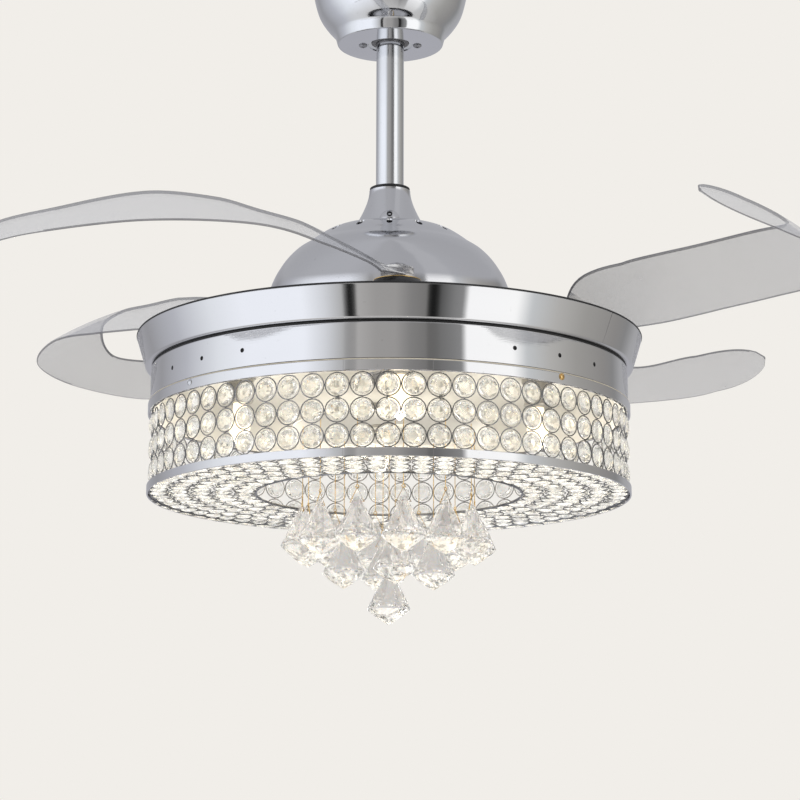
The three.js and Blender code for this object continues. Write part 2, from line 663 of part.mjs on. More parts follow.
/** Round cup under a blade's boss that holds its return spring, with sloping sides. */
function springCup() {
  const top = CUP_FOOT + CUP_HEIGHT;
  const bore = bored(PIN_RADIUS, CUP_SIDES);
  return revolve([
    [bore, CUP_FOOT], [CUP_RADIUS, CUP_FOOT], [CUP_RADIUS, CUP_FOOT + CUP_RIM],
    [CUP_LIP_RADIUS, top], [bore, top],
  ], CUP_SIDES).translate(PIVOT_RADIUS, 0, 0);
}

/** Shoulder bolt through the carrier, the cup and the blade's boss, with its nut below. */
function bladePin() {
  const seat = BOSS_FOOT + BOSS_HEIGHT + GAP;
  const nutTop = CARRIER_HEIGHT - GAP;
  const nut = PIN_RADIUS + 3.5;
  return revolve([
    [0, nutTop - PIN_NUT_HEIGHT], [nut, nutTop - PIN_NUT_HEIGHT], [nut, nutTop],
    [PIN_RADIUS, nutTop], [PIN_RADIUS, seat], [PIN_HEAD_RADIUS, seat],
    [PIN_HEAD_RADIUS, seat + PIN_HEAD_HEIGHT - 1], [PIN_HEAD_RADIUS - 1.5, seat + PIN_HEAD_HEIGHT],
    [0, seat + PIN_HEAD_HEIGHT],
  ], SMALL_SIDES).translate(PIVOT_RADIUS, 0, 0);
}

// ------------------------------------------------------------------ blades
/** Points across a blade, from its outer edge over the top to its inner edge and back below. */
const BLADE_ACROSS = [
  [-1, 0], [-0.92, 1], [0, 1], [0.92, 1], [1, 0], [0.92, -1], [0, -1], [-0.92, -1],
];

/** Centre line, heading, half width and pitch of the folded blade at one place along it. */
function bladeSection(place) {
  const column = (key) => smooth(BLADE_STATIONS.map((station) => station[key]), place);
  const centre = (at) => {
    const of = (read) => smooth(BLADE_STATIONS.map(read), at);
    const radius = (station) => PIVOT_RADIUS + station.outside * BLADE_SPREAD;
    const x = of((station) => radius(station) * Math.cos(radians(-station.wrap)));
    const y = of((station) => radius(station) * Math.sin(radians(-station.wrap)));
    return new THREE.Vector2(x - PIVOT_RADIUS, y);
  };
  const last = BLADE_STATIONS.length - 1;
  const step = 0.01;
  const ahead = centre(Math.min(place + step, last)).sub(centre(Math.max(place - step, 0)));
  const tipWidth = BLADE_STATIONS[last - 1].width;
  const tipPlace = Math.max(place - last + 1, 0);
  const share = tipPlace > 0 ? tipWidth * Math.sqrt(1 - 0.995 * tipPlace ** 2) : column('width');
  return {
    centre: centre(place),
    heading: ahead.normalize(),
    rise: column('rise') * BLADE_LIFT + BLADE_RISE,
    halfWidth: share * BLADE_HALF_WIDTH,
    pitch: radians(column('pitch')),
  };
}

/** Pitched, crescent shaped blade, lofted through its sections. */
function bladeLeaf() {
  const last = BLADE_STATIONS.length - 1;
  const positions = [];
  const around = BLADE_ACROSS.length;
  for (let i = 0; i <= BLADE_STEPS; i += 1) {
    // Sections lie closer together towards the rounded tip.
    const share = i / BLADE_STEPS;
    const place = last * (share + 0.06 * Math.sin(Math.PI * share));
    const section = bladeSection(Math.min(place, last));
    const inwards = new THREE.Vector3(section.heading.y, -section.heading.x, 0);
    const up = new THREE.Vector3(0, 0, 1);
    const across = inwards.clone().multiplyScalar(Math.cos(section.pitch));
    across.addScaledVector(up, Math.sin(section.pitch));
    const normal = inwards.clone().multiplyScalar(-Math.sin(section.pitch));
    normal.addScaledVector(up, Math.cos(section.pitch));
    const reach = section.halfWidth / Math.cos(section.pitch);
    for (const [side, face] of BLADE_ACROSS) {
      const crown = BLADE_CAMBER * reach * (1 - side * side);
      const point = new THREE.Vector3(section.centre.x, section.centre.y, section.rise);
      point.addScaledVector(across, side * reach);
      point.addScaledVector(normal, crown + (face * BLADE_THICKNESS) / 2);
      positions.push(point.x, point.y, point.z);
    }
  }
  const index = [];
  for (let i = 0; i < BLADE_STEPS; i += 1) {
    for (let j = 0; j < around; j += 1) {
      const k = (j + 1) % around;
      const [a, b, c, d] = [i * around + j, i * around + k, (i + 1) * around + k, (i + 1) * around + j];
      index.push(a, b, c, a, c, d);
    }
  }
  const start = BLADE_STEPS * around;
  for (let j = 1; j < around - 1; j += 1) {
    index.push(0, j + 1, j);
    index.push(start, start + j, start + j + 1);
  }
  const geometry = new THREE.BufferGeometry();
  geometry.setAttribute('position', new THREE.Float32BufferAttribute(positions, 3));
  geometry.setIndex(index);
  return geometry;
}

/** Blade with the boss that turns on its pivot pin. The pivot is the origin. */
function blade() {
  const boss = revolve([
    [0, 0], [BOSS_RADIUS, 0], [BOSS_RADIUS, BOSS_HEIGHT - 2], [BOSS_RADIUS - 2, BOSS_HEIGHT],
    [0, BOSS_HEIGHT],
  ], SMALL_SIDES);
  const bore = post(bored(PIN_RADIUS), -1, BOSS_HEIGHT + 60);
  const headRoom = post(PIN_HEAD_RADIUS + 1, BOSS_HEIGHT, BOSS_HEIGHT + 60);
  const underside = post(2 * BOSS_RADIUS, -30, 0);
  return cut(join(boss, bladeLeaf()), underside, bore, headRoom);
}

// ------------------------------------------------------------------ dome, collar and down rod
/** Dome over the motor, pressed from sheet, with a ring of short vent slots round the collar. */
function dome() {
  const height = DOME_TOP - DOME_HEM;
  const outline = DOME_OUTLINE.map(([radius, drop]) =>
    [radius * DOME_HEM_RADIUS, DOME_TOP - drop * height]).reverse();
  const cover = revolve(sheet([
    [DOME_HEM_RADIUS, DOME_HEM], ...outline, [COLLAR_FOOT, DOME_TOP],
    [YOKE_RADIUS + GAP, DOME_TOP],
  ]));
  const depth = height / 2;
  const slots = Array.from({ length: VENT_SLOTS }, (_, i) =>
    oblong(VENT_LENGTH, VENT_WIDTH, DOME_TOP - depth, VENT_PLACE, depth)
      .rotateZ(fromFront((360 * i) / VENT_SLOTS)));
  return cut(cover, ...slots);
}

/** Trumpet shaped collar over the yoke, with the round stud of its fixing screw at the front. */
function collarCover() {
  const foot = DOME_TOP + GAP;
  const curve = new THREE.QuadraticBezierCurve(
    new THREE.Vector2(COLLAR_FOOT, foot),
    new THREE.Vector2(COLLAR_WAIST, foot + 0.64 * COLLAR_HEIGHT),
    new THREE.Vector2(COLLAR_NECK, COLLAR_TOP),
  );
  const outline = curve.getPoints(4).map((point) => [point.x, point.y]);
  const cover = revolve(sheet(outline), ROD_SIDES);
  const stud = new THREE.SphereGeometry(COLLAR_STUD_RADIUS, 8, 6);
  stud.rotateX(Math.PI / 2).translate(0, -COLLAR_FOOT + 4, foot + 2);
  const below = block(3 * COLLAR_FOOT, 3 * COLLAR_FOOT, foot - 2 * COLLAR_STUD_RADIUS, foot);
  return cut(join(cover, stud), below);
}

/** Yoke, flange and hollow shaft: the still middle that the motor turns about. */
function yokeShaft() {
  const foot = BODY_TOP - SHEET - GAP - NUT_HEIGHT - NUT_TAIL;
  const seat = TRAY_FOOT + 1.2 + GAP;
  const neck = FLANGE_TOP - FLANGE_THICKNESS;
  const socket = ROD_RADIUS + GAP;
  const body = revolve([
    [SHAFT_BORE, foot], [THREAD_RADIUS, foot], [THREAD_RADIUS, seat], [SHOULDER_RADIUS, seat],
    [SHOULDER_RADIUS, seat + SHOULDER_HEIGHT], [SHAFT_RADIUS, seat + SHOULDER_HEIGHT],
    [SHAFT_RADIUS, neck], [FLANGE_RADIUS, neck], [FLANGE_RADIUS, FLANGE_TOP],
    [YOKE_RADIUS, FLANGE_TOP], [YOKE_RADIUS, YOKE_TOP], [socket, YOKE_TOP],
    [socket, YOKE_TOP - YOKE_DEPTH], [SHAFT_BORE, YOKE_TOP - YOKE_DEPTH],
  ], ROD_SIDES);
  return cut(body, crossRod(CROSS_PIN_RADIUS + GAP, 3 * YOKE_RADIUS, BOLT_HEIGHT, 8));
}

/** Bolt across the yoke and the down rod, with its head at one end and its nut at the other. */
function yokeBolt() {
  const half = YOKE_RADIUS + GAP;
  return revolve([
    [0, -half - BOLT_HEAD_HEIGHT], [BOLT_HEAD_RADIUS, -half - BOLT_HEAD_HEIGHT],
    [BOLT_HEAD_RADIUS, -half], [CROSS_PIN_RADIUS, -half], [CROSS_PIN_RADIUS, half],
    [BOLT_HEAD_RADIUS, half], [BOLT_HEAD_RADIUS, half + BOLT_HEAD_HEIGHT],
    [0, half + BOLT_HEAD_HEIGHT],
  ], 8).rotateX(Math.PI / 2).translate(0, 0, BOLT_HEIGHT);
}

/** Down rod, cross drilled for the yoke's bolt and the ball's pin. */
function downRod() {
  const top = BALL_HEIGHT + ballHalfHeight() + ROD_OVER_BALL;
  const tube = ring(ROD_RADIUS - ROD_WALL, ROD_RADIUS, ROD_FOOT, top, ROD_SIDES);
  return cut(tube, crossRod(CROSS_PIN_RADIUS + GAP, 4 * ROD_RADIUS, BOLT_HEIGHT, 8),
    crossRod(CROSS_PIN_RADIUS + GAP, 4 * ROD_RADIUS, BALL_HEIGHT, 8));
}

// ------------------------------------------------------------------ canopy and hanger
const ballHalfHeight = () => Math.sqrt(BALL_RADIUS ** 2 - BALL_FACE ** 2);

/** Hanger ball, bored for the down rod and cross drilled for its pin. */
function hangerBall() {
  const reach = Math.acos(BALL_FACE / BALL_RADIUS);
  const bore = ROD_RADIUS + GAP;
  const profile = [[bore, BALL_HEIGHT - ballHalfHeight()]];
  const steps = 5;
  for (let i = 0; i <= steps; i += 1) {
    const angle = -reach + (2 * reach * i) / steps;
    profile.push([BALL_RADIUS * Math.cos(angle), BALL_HEIGHT + BALL_RADIUS * Math.sin(angle)]);
  }
  profile.push([bore, BALL_HEIGHT + ballHalfHeight()]);
  return cut(revolve(profile, ROD_SIDES),
    crossRod(CROSS_PIN_RADIUS + GAP, 3 * BALL_RADIUS, BALL_HEIGHT, 8));
}

/** Pressed canopy: flat lower face with the rod's hole, a short neck and a bowl. */
function canopy() {
  const bowl = new THREE.SplineCurve(
    CANOPY_BOWL.map(([radius, height]) => new THREE.Vector2(radius, CANOPY_FACE + height)),
  ).getPoints(4).map((point) => [point.x, point.y]);
  const rim = CANOPY_BOWL[CANOPY_BOWL.length - 1][0];
  const shell = revolve(sheet([
    [CANOPY_HOLE_RADIUS, CANOPY_FACE], [CANOPY_FACE_RADIUS, CANOPY_FACE],
    [CANOPY_FACE_RADIUS + 1.6, CANOPY_FACE + 6], ...bowl, [rim, CEILING - GAP],
  ]), CANOPY_SIDES);
  const drills = [-1, 1].map((side) =>
    post(bored(SCREW_RADIUS, 8), CANOPY_FACE - 2, CANOPY_FACE + 4, side * SCREW_PLACE, 0, 8));
  return cut(shell, ...drills);
}

/** Bracket on the ceiling: plate, two arms with bent feet, and the cradle of the ball. */
function hangerBracket() {
  const foot = CANOPY_FACE + SHEET + GAP;
  const plateFoot = CEILING - PLATE_THICKNESS;
  const seat = (below) => Math.sqrt((BALL_RADIUS + GAP) ** 2 - below ** 2);
  const middle = (CRADLE_DROP - 4 + CRADLE_RIM) / 2;
  const outer = seat(CRADLE_RIM) + CRADLE_WALL;
  const cradle = revolve([
    [seat(CRADLE_DROP - 4), BALL_HEIGHT - CRADLE_DROP], [outer, BALL_HEIGHT - CRADLE_DROP],
    [outer, BALL_HEIGHT - CRADLE_RIM], [seat(CRADLE_RIM) + GAP, BALL_HEIGHT - CRADLE_RIM],
    [seat(middle) + GAP, BALL_HEIGHT - middle],
    [seat(CRADLE_DROP - 4) + GAP, BALL_HEIGHT - CRADLE_DROP + 4],
  ], ROD_SIDES);
  const shelfFoot = BALL_HEIGHT - CRADLE_DROP;
  const arms = [-1, 1].flatMap((side) => {
    const footX = side * (ARM_PLACE + (PLATE_THICKNESS - FOOT_LENGTH) / 2);
    const shelf = ARM_PLACE - outer + 2;
    return [
      block(PLATE_THICKNESS, ARM_WIDTH, foot, CEILING - 1, side * ARM_PLACE),
      block(FOOT_LENGTH, ARM_WIDTH, foot, foot + PLATE_THICKNESS, footX),
      block(shelf, ARM_WIDTH, shelfFoot, shelfFoot + PLATE_THICKNESS, side * (ARM_PLACE - shelf / 2)),
    ];
  });
  const top = block(PLATE_LENGTH, PLATE_WIDTH, plateFoot, CEILING);
  const screws = [-1, 1].map((side) =>
    post(bored(SCREW_RADIUS, 8), foot - 1, foot + PLATE_THICKNESS + 1, side * SCREW_PLACE, 0, 8));
  const slots = [-1, 1].map((side) =>
    oblong(PLATE_SLOT_LENGTH, PLATE_SLOT_WIDTH, plateFoot - 1, side * PLATE_SLOT_PLACE,
      PLATE_THICKNESS + 2));
  const wires = post(PLATE_HOLE_RADIUS, plateFoot - 1, CEILING + 1, PLATE_HOLE_PLACE);
  return cut(join(top, cradle, ...arms), wires, ...slots, ...screws);
}

/** Screw that holds the canopy to one foot of the bracket. */
function canopyScrew(side) {
  const seat = CANOPY_FACE - GAP;
  const tip = CANOPY_FACE + SHEET + GAP + PLATE_THICKNESS + 2;
  return revolve([
    [0, seat - SCREW_HEAD_HEIGHT], [SCREW_HEAD_RADIUS - 1.2, seat - SCREW_HEAD_HEIGHT],
    [SCREW_HEAD_RADIUS, seat - 0.8], [SCREW_HEAD_RADIUS, seat], [SCREW_RADIUS, seat],
    [SCREW_RADIUS, tip], [0, tip],
  ], 8).translate(side * SCREW_PLACE, 0, 0);
}

// ------------------------------------------------------------------ assembly
function addHousing(group) {
  piece(group, 'hanger_bracket', hangerBracket(), zinc);
  piece(group, 'canopy', canopy(), chrome);
  piece(group, 'canopy_screw_1', canopyScrew(-1), zinc);
  piece(group, 'canopy_screw_2', canopyScrew(1), zinc);
  piece(group, 'hanger_ball', hangerBall(), blackPlastic);
  piece(group, 'ball_pin', crossRod(CROSS_PIN_RADIUS, 1.8 * BALL_RADIUS, BALL_HEIGHT, 8), zinc);
  piece(group, 'down_rod', downRod(), chrome);
  const gasketFoot = COLLAR_TOP + GAP;
  piece(group, 'rod_gasket',
    ring(ROD_RADIUS + GAP, ROD_RADIUS + GAP + GASKET_OVERLAP, gasketFoot, gasketFoot + GASKET_HEIGHT, ROD_SIDES),
    blackRubber);
  piece(group, 'collar_cover', collarCover(), polishedSteel);
  piece(group, 'dome_cover', dome(), polishedSteel);
  piece(group, 'yoke_shaft', yokeShaft(), zinc);
  piece(group, 'yoke_bolt', yokeBolt(), zinc);
  piece(group, 'tray_ring', tray(), chrome);
  piece(group, 'spacer_ring',
    ring(THREAD_RADIUS + GAP, SPACER_RADIUS, BODY_TOP + GAP, BODY_TOP + GAP + SPACER_THICKNESS),
    blackRubber);
  piece(group, 'lamp_body', lampBody(), polishedSteel);
  piece(group, 'shaft_nut', shaftNut(), zinc);
}

function addLamp(group) {
  piece(group, 'upper_trim', upperTrim(), chrome);
  piece(group, 'lower_trim', lowerTrim(), chrome);
  piece(group, 'bead_wall', beadWall(), crystal);
  piece(group, 'bead_floor', beadFloor(), crystal);
  piece(group, 'drop_frame', dropFrame(), gold);
  for (let i = 0; i < LAMPS; i += 1) {
    const angle = fromFront(LAMP_TURN + (360 * i) / LAMPS);
    const [x, y] = [LAMP_PLACE * Math.cos(angle), LAMP_PLACE * Math.sin(angle)];
    piece(group, `lamp_holder_${i + 1}`, lampHolder(x, y), blackPlastic);
    piece(group, `lamp_bulb_${i + 1}`, lampBulb(x, y), litGlass);
  }
  for (const tier of TIERS) {
    tierPlaces(tier).forEach((place, i) => {
      const name = tier.count > 1 ? `${tier.name}_${i + 1}` : tier.name;
      piece(group, name, glassDrop(place, tier.top), crystal);
    });
  }
}

function addRotor(group) {
  piece(group, 'motor_case', motorCase(), castAluminium);
  piece(group, 'blade_carrier', bladeCarrier(), zinc);
  for (let i = 0; i < BLADES; i += 1) {
    const corner = new THREE.Group();
    corner.rotation.z = (-2 * Math.PI * i) / BLADES;
    group.add(corner);
    piece(corner, `spring_cup_${i + 1}`, springCup(), blackPlastic);
    piece(corner, `blade_pin_${i + 1}`, bladePin(), zinc);
    const swing = new THREE.Group();
    swing.position.set(PIVOT_RADIUS, 0, BOSS_FOOT);
    swing.rotation.z = radians(BLADE_SWINGS[i]);
    corner.add(swing);
    piece(swing, `blade_${i + 1}`, blade(), clearPlastic);
  }
}

const fan = new THREE.Group();
fan.name = 'retractable_blade_ceiling_fan';
fan.position.z = -CEILING;
const housing = new THREE.Group();
const rotor = new THREE.Group();
rotor.rotation.z = radians(ROTOR_TURN);
fan.add(housing, rotor);
addHousing(housing);
addLamp(housing);
addRotor(rotor);

export default fan;
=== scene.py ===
"""Looks of a ceiling fan with folding clear blades over a lamp drum of faceted beads.

Sizes are in millimetres. Heights are counted from the drum's lower edge, as in the part's source, and
every mesh is lowered by the height of the ceiling and turned into metres when it is made.
"""

from __future__ import annotations

import logging
import math
import random
from dataclasses import dataclass, field
from enum import Enum, IntEnum
from typing import Iterable, Mapping, Sequence

import bmesh
import bpy
from mathutils import Matrix, Vector


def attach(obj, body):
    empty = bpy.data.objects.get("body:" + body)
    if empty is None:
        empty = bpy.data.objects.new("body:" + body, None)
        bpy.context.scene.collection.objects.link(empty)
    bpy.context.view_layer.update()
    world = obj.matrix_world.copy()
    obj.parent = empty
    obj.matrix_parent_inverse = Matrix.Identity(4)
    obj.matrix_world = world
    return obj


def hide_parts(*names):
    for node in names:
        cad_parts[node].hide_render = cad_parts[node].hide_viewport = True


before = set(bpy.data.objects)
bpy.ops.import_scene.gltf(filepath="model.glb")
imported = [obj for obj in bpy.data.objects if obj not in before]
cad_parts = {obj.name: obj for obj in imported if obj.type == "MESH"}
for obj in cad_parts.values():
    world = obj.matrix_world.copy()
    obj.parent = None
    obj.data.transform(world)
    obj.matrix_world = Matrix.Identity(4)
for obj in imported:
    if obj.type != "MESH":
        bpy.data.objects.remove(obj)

LOG = logging.getLogger("ceiling_fan")
MM = 0.001
CEILING = 560.0
GAP = 0.3  # room between two pieces that touch
SEED = 41
ON_AXIS = 1e-6
WHITE = (1.0, 1.0, 1.0)
Outline = list[tuple[float, float]]
Triple = tuple[float, float, float]
Colour = Triple


class Body(Enum):
    """Bodies that the pieces ride on."""

    HOUSING = "housing"
    ROTOR = "rotor"


class Slot(Enum):
    """Material slots of the record."""

    CHROME = "canopy_chrome"
    STEEL = "polished_steel"
    ZINC = "zinc"
    CAST = "cast_aluminium"
    GOLD = "gold"
    RUBBER = "black_rubber"
    PLASTIC = "black_plastic"
    BLADE = "clear_blade"
    CRYSTAL = "crystal"
    LIT = "lit_glass"


class DropFace(IntEnum):
    """Material slots of a drop."""

    CLEAR = 0
    FOOT = 1
    # crown facets in darker glass: painted shade
    SHADE = 2


class BladeFace(IntEnum):
    """Material slots of a blade."""

    LEAF = 0
    RIM = 1
    ROOT = 2


# ---------------------------------------------------------------------------- shader helpers
class Value:
    """A number in a shader: wraps a socket, and its arithmetic adds Math nodes."""

    def __init__(self, nodes: Nodes, socket: bpy.types.NodeSocket) -> None:
        """Keeps the node tree's helper and the socket that gives the number."""
        self.nodes = nodes
        self.socket = socket

    def _math(self, operation: str, first: object, second: object) -> Value:
        """Adds one Math node.

        Args:
            operation: The node's operation.
            first: Its first number or value.
            second: Its second number or value.

        Returns:
            The node's result.
        """
        node = self.nodes.add("ShaderNodeMath", {"operation": operation}, {0: first, 1: second})
        return Value(self.nodes, node.outputs[0])

    def __add__(self, other: object) -> Value:
        """Sum."""
        return self._math("ADD", self, other)

    __radd__ = __add__

    def __mul__(self, other: object) -> Value:
        """Product."""
        return self._math("MULTIPLY", self, other)

    def __truediv__(self, other: object) -> Value:
        """Quotient."""
        return self._math("DIVIDE", self, other)

    def at_least(self, other: object) -> Value:
        """Larger of the two."""
        return self._math("MAXIMUM", self, other)


class Nodes:
    """Node tree of one finish or of the surroundings."""

    def __init__(self, tree: bpy.types.NodeTree) -> None:
        """Empties the tree."""
        self.tree = tree
        tree.nodes.clear()

    def feed(self, socket: bpy.types.NodeSocket, value: object) -> None:
        """Links a value to a socket, or sets it.

        Args:
            socket: The input.
            value: A Value, a socket, a number or a colour.
        """
        if isinstance(value, Value):
            self.tree.links.new(value.socket, socket)
        elif isinstance(value, bpy.types.NodeSocket):
            self.tree.links.new(value, socket)
        elif socket.type == "RGBA" and isinstance(value, tuple) and len(value) == 3:
            socket.default_value = (*value, 1.0)
        else:
            socket.default_value = value

    def add(
        self,
        kind: str,
        settings: Mapping[str, object] | None = None,
        inputs: Mapping[int | str, object] | None = None,
    ) -> bpy.types.Node:
        """Adds one node.

        Args:
            kind: The node's type.
            settings: Its own settings. "stops" fills a colour ramp from (place, colour) pairs.
            inputs: Values or links of its sockets, by name or number.

        Returns:
            The new node.
        """
        node = self.tree.nodes.new(kind)
        for key, value in (settings or {}).items():
            if key == "stops":
                self._fill_ramp(node.color_ramp, value)
            else:
                setattr(node, key, value)
        for key, value in (inputs or {}).items():
            self.feed(node.inputs[key], value)
        return node

    @staticmethod
    def _fill_ramp(ramp: bpy.types.ColorRamp, stops: Sequence[tuple[float, object]]) -> None:
        """Sets a ramp's stops.

        Args:
            ramp: The ramp.
            stops: Place and grey or colour of each stop, in order.
        """
        while len(ramp.elements) > 1:
            ramp.elements.remove(ramp.elements[-1])
        for number, (place, tone) in enumerate(stops):
            element = ramp.elements[0] if number == 0 else ramp.elements.new(place)
            element.position = place
            element.color = (*tone, 1.0) if isinstance(tone, tuple) else (tone, tone, tone, 1.0)

    def value(self, node: bpy.types.Node, output: int | str = 0) -> Value:
        """Wraps one output of a node."""
        return Value(self, node.outputs[output])

    def noise(self, scale: float, detail: float = 3.0, stretch: Triple = (1, 1, 1),
              offset: float = 0.0) -> Value:
        """Noise over the object's own coordinates.

        Args:
            scale: Its scale, per metre.
            detail: How many finer layers it has.
            stretch: How much finer it is along X, Y and Z.
            offset: Where in the noise it lies, so that two of them differ.

        Returns:
            Its value, about 0.5 in the mean.
        """
        where = self.add("ShaderNodeTexCoord").outputs["Object"]
        spread = self.add("ShaderNodeMapping", {},
                          {"Vector": where, "Scale": stretch, "Location": (offset,) * 3})
        node = self.add(
            "ShaderNodeTexNoise", {}, {"Vector": spread.outputs[0], "Scale": scale, "Detail": detail}
        )
        return self.value(node, "Fac" if "Fac" in node.outputs else 0)

    def ramp(self, source: Value, stops: Sequence[tuple[float, object]]) -> Value:
        """Sends a value through a colour ramp."""
        node = self.add("ShaderNodeValToRGB", {"stops": stops}, {0: source})
        return self.value(node)

    def mix(self, factor: object, first: object, second: object) -> bpy.types.NodeSocket:
        """Mixes two colours.

        Args:
            factor: Share of the second.
            first: Colour at 0.
            second: Colour at 1.

        Returns:
            The mixed colour's socket.
        """
        node = self.add("ShaderNodeMix", {"data_type": "RGBA"}, {0: factor, 6: first, 7: second})
        return node.outputs[2]

    def bump(
        self, height: Value, strength: float, distance: float, under: bpy.types.NodeSocket | None = None
    ) -> bpy.types.NodeSocket:
        """Normal that a height gives.

        Args:
            height: The height, from 0 to 1.
            strength: How much of it shows.
            distance: Its full height, in metres.
            under: Normal that it lies on, if that isn't the mesh's own.

        Returns:
            The normal's socket.
        """
        inputs = {"Height": height, "Strength": strength, "Distance": distance}
        if under is not None:
            inputs["Normal"] = under
        return self.add("ShaderNodeBump", {}, inputs).outputs[0]

    def principled(self, **inputs: object) -> bpy.types.Node:
        """Adds a Principled shader.

        Args:
            inputs: Its sockets, with underscores for spaces.

        Returns:
            The shader.
        """
        named = {key.replace("_", " "): value for key, value in inputs.items()}
        return self.add("ShaderNodeBsdfPrincipled", {}, named)

    def surface(self, **inputs: object) -> None:
        """Ends the tree in a Principled shader with the given sockets."""
        self.add("ShaderNodeOutputMaterial", {}, {"Surface": self.principled(**inputs).outputs[0]})


# ---------------------------------------------------------------------------- finishes
def dimmed(colour: Colour, share: float) -> Colour:
    """Colour at a share of its brightness."""
    return tuple(share * part for part in colour)


@dataclass(frozen=True)
class Finish:
    """A finish that makes its material once."""

    name: str

    def material(self) -> bpy.types.Material:
        """Material of this finish, made on first use.

        Returns:
            The material.
        """
        found = bpy.data.materials.get(self.name)
        if found is None:
            found = bpy.data.materials.new(self.name)
            found.use_nodes = True
            self.paint(Nodes(found.node_tree))
        return found

    def paint(self, nodes: Nodes) -> None:
        """Fills the material's node tree.

        Args:
            nodes: Helper of that tree.
        """
        raise NotImplementedError


@dataclass(frozen=True)
class PlatedMetal(Finish):
    """Bright plating with faint smears and specks of dust."""

    colour: Colour = (0.8, 0.81, 0.83)
    gloss: float = 0.07
    smear: float = 0.1
    ripple: float = 0.12

    def paint(self, nodes: Nodes) -> None:
        """Fills the material's node tree.

        Args:
            nodes: Helper of that tree.
        """
        smear = nodes.ramp(nodes.noise(14, 5), [(0.42, 0.0), (0.72, 1.0)])
        grain = nodes.noise(900, 2, offset=3.0)
        speck = nodes.ramp(nodes.noise(420, 1, offset=7.0), [(0.7, 0.0), (0.78, 1.0)])
        dulled = dimmed(self.colour, 0.86)
        colour = nodes.mix(speck * 0.5 + smear * 0.25, self.colour, dulled)
        roughness = self.gloss + smear * self.smear + grain * 0.03
        wave = nodes.noise(9, 2, offset=11.0)
        normal = nodes.bump(wave + grain * 0.02, self.ripple, 0.002)
        nodes.surface(Base_Color=colour, Metallic=1.0, Roughness=roughness, Normal=normal)


@dataclass(frozen=True)
class SpunSteel(Finish):
    """Mirror polished sheet steel with fine lines round it and slow waves in the sheet."""

    colour: Colour = (0.79, 0.79, 0.8)
    gloss: float = 0.015
    lines: float = 0.08
    waves: float = 0.3

    def paint(self, nodes: Nodes) -> None:
        """Fills the material's node tree.

        Args:
            nodes: Helper of that tree.
        """
        hairs = nodes.noise(16, 4, stretch=(0.5, 0.5, 120.0))
        broad = nodes.noise(7, 3, stretch=(1.0, 1.0, 9.0), offset=5.0)
        spots = nodes.ramp(nodes.noise(260, 2, offset=2.0), [(0.7, 0.0), (0.76, 1.0)])
        dulled = dimmed(self.colour, 0.84)
        colour = nodes.mix(spots * 0.4 + broad * 0.2, self.colour, dulled)
        roughness = self.gloss + hairs * 0.035 + broad * 0.025
        sheet_waves = nodes.bump(nodes.noise(8, 2, stretch=(1.0, 1.0, 0.2), offset=11.0), self.waves, 0.002)
        normal = nodes.bump(hairs, self.lines, 0.0001, sheet_waves)
        nodes.surface(Base_Color=colour, Metallic=1.0, Roughness=roughness, Normal=normal)


@dataclass(frozen=True)
class SatinSteel(Finish):
    """Soft bright steel, pressed and lightly brushed, with short scratches and specks."""

    colour: Colour = (0.66, 0.66, 0.68)
    gloss: float = 0.3
    spread: float = 0.1

    def paint(self, nodes: Nodes) -> None:
        """Fills the material's node tree.

        Args:
            nodes: Helper of that tree.
        """
        cloud = nodes.noise(11, 4)
        grain = nodes.noise(1400, 2, offset=3.0)
        scratch = nodes.ramp(nodes.noise(130, 2, stretch=(1.0, 9.0, 1.6), offset=4.0),
                             [(0.72, 0.0), (0.75, 1.0)])
        patch = nodes.ramp(nodes.noise(8, 1, offset=9.0), [(0.52, 0.0), (0.64, 1.0)])
        dark = dimmed(self.colour, 0.35)
        colour = nodes.mix(scratch * patch, self.colour, dark)
        roughness = self.gloss + cloud * self.spread + grain * 0.02
        normal = nodes.bump(grain, 0.12, 0.0002)
        nodes.surface(Base_Color=colour, Metallic=1.0, Roughness=roughness, Normal=normal)


@dataclass(frozen=True)
class Wire(Finish):
    """Thin drawn wire, bright or gilt."""

    colour: Colour = (0.5, 0.5, 0.52)
    gloss: float = 0.18

    def paint(self, nodes: Nodes) -> None:
        """Fills the material's node tree.

        Args:
            nodes: Helper of that tree.
        """
        tarnish = nodes.noise(60, 3)
        darker = dimmed(self.colour, 0.6)
        colour = nodes.mix(nodes.ramp(tarnish, [(0.4, 0.0), (0.7, 1.0)]), self.colour, darker)
        nodes.surface(Base_Color=colour, Metallic=1.0, Roughness=self.gloss + tarnish * 0.15)


@dataclass(frozen=True)
class MouldedBlack(Finish):
    """Black rubber or moulded plastic with a fine grain."""

    colour: Colour = (0.012, 0.012, 0.013)
    gloss: float = 0.45

    def paint(self, nodes: Nodes) -> None:
        """Fills the material's node tree.

        Args:
            nodes: Helper of that tree.
        """
        grain = nodes.noise(1100, 2)
        dust = nodes.ramp(nodes.noise(30, 4, offset=2.0), [(0.5, 0.0), (0.8, 1.0)])
        grey = tuple(part + 0.03 for part in self.colour)
        colour = nodes.mix(dust, self.colour, grey)
        normal = nodes.bump(grain, 0.25, 0.0003)
        nodes.surface(Base_Color=colour, Roughness=self.gloss + dust * 0.15, Normal=normal)


@dataclass(frozen=True)
class Enamel(Finish):
    """White baked enamel, a little uneven."""

    colour: Colour = (0.6, 0.59, 0.56)

    def paint(self, nodes: Nodes) -> None:
        """Fills the material's node tree.

        Args:
            nodes: Helper of that tree.
        """
        cloud = nodes.noise(24, 4)
        darker = dimmed(self.colour, 0.9)
        colour = nodes.mix(cloud, self.colour, darker)
        normal = nodes.bump(nodes.noise(500, 2, offset=4.0), 0.15, 0.0002)
        nodes.surface(Base_Color=colour, Roughness=0.32 + cloud * 0.15, Normal=normal)


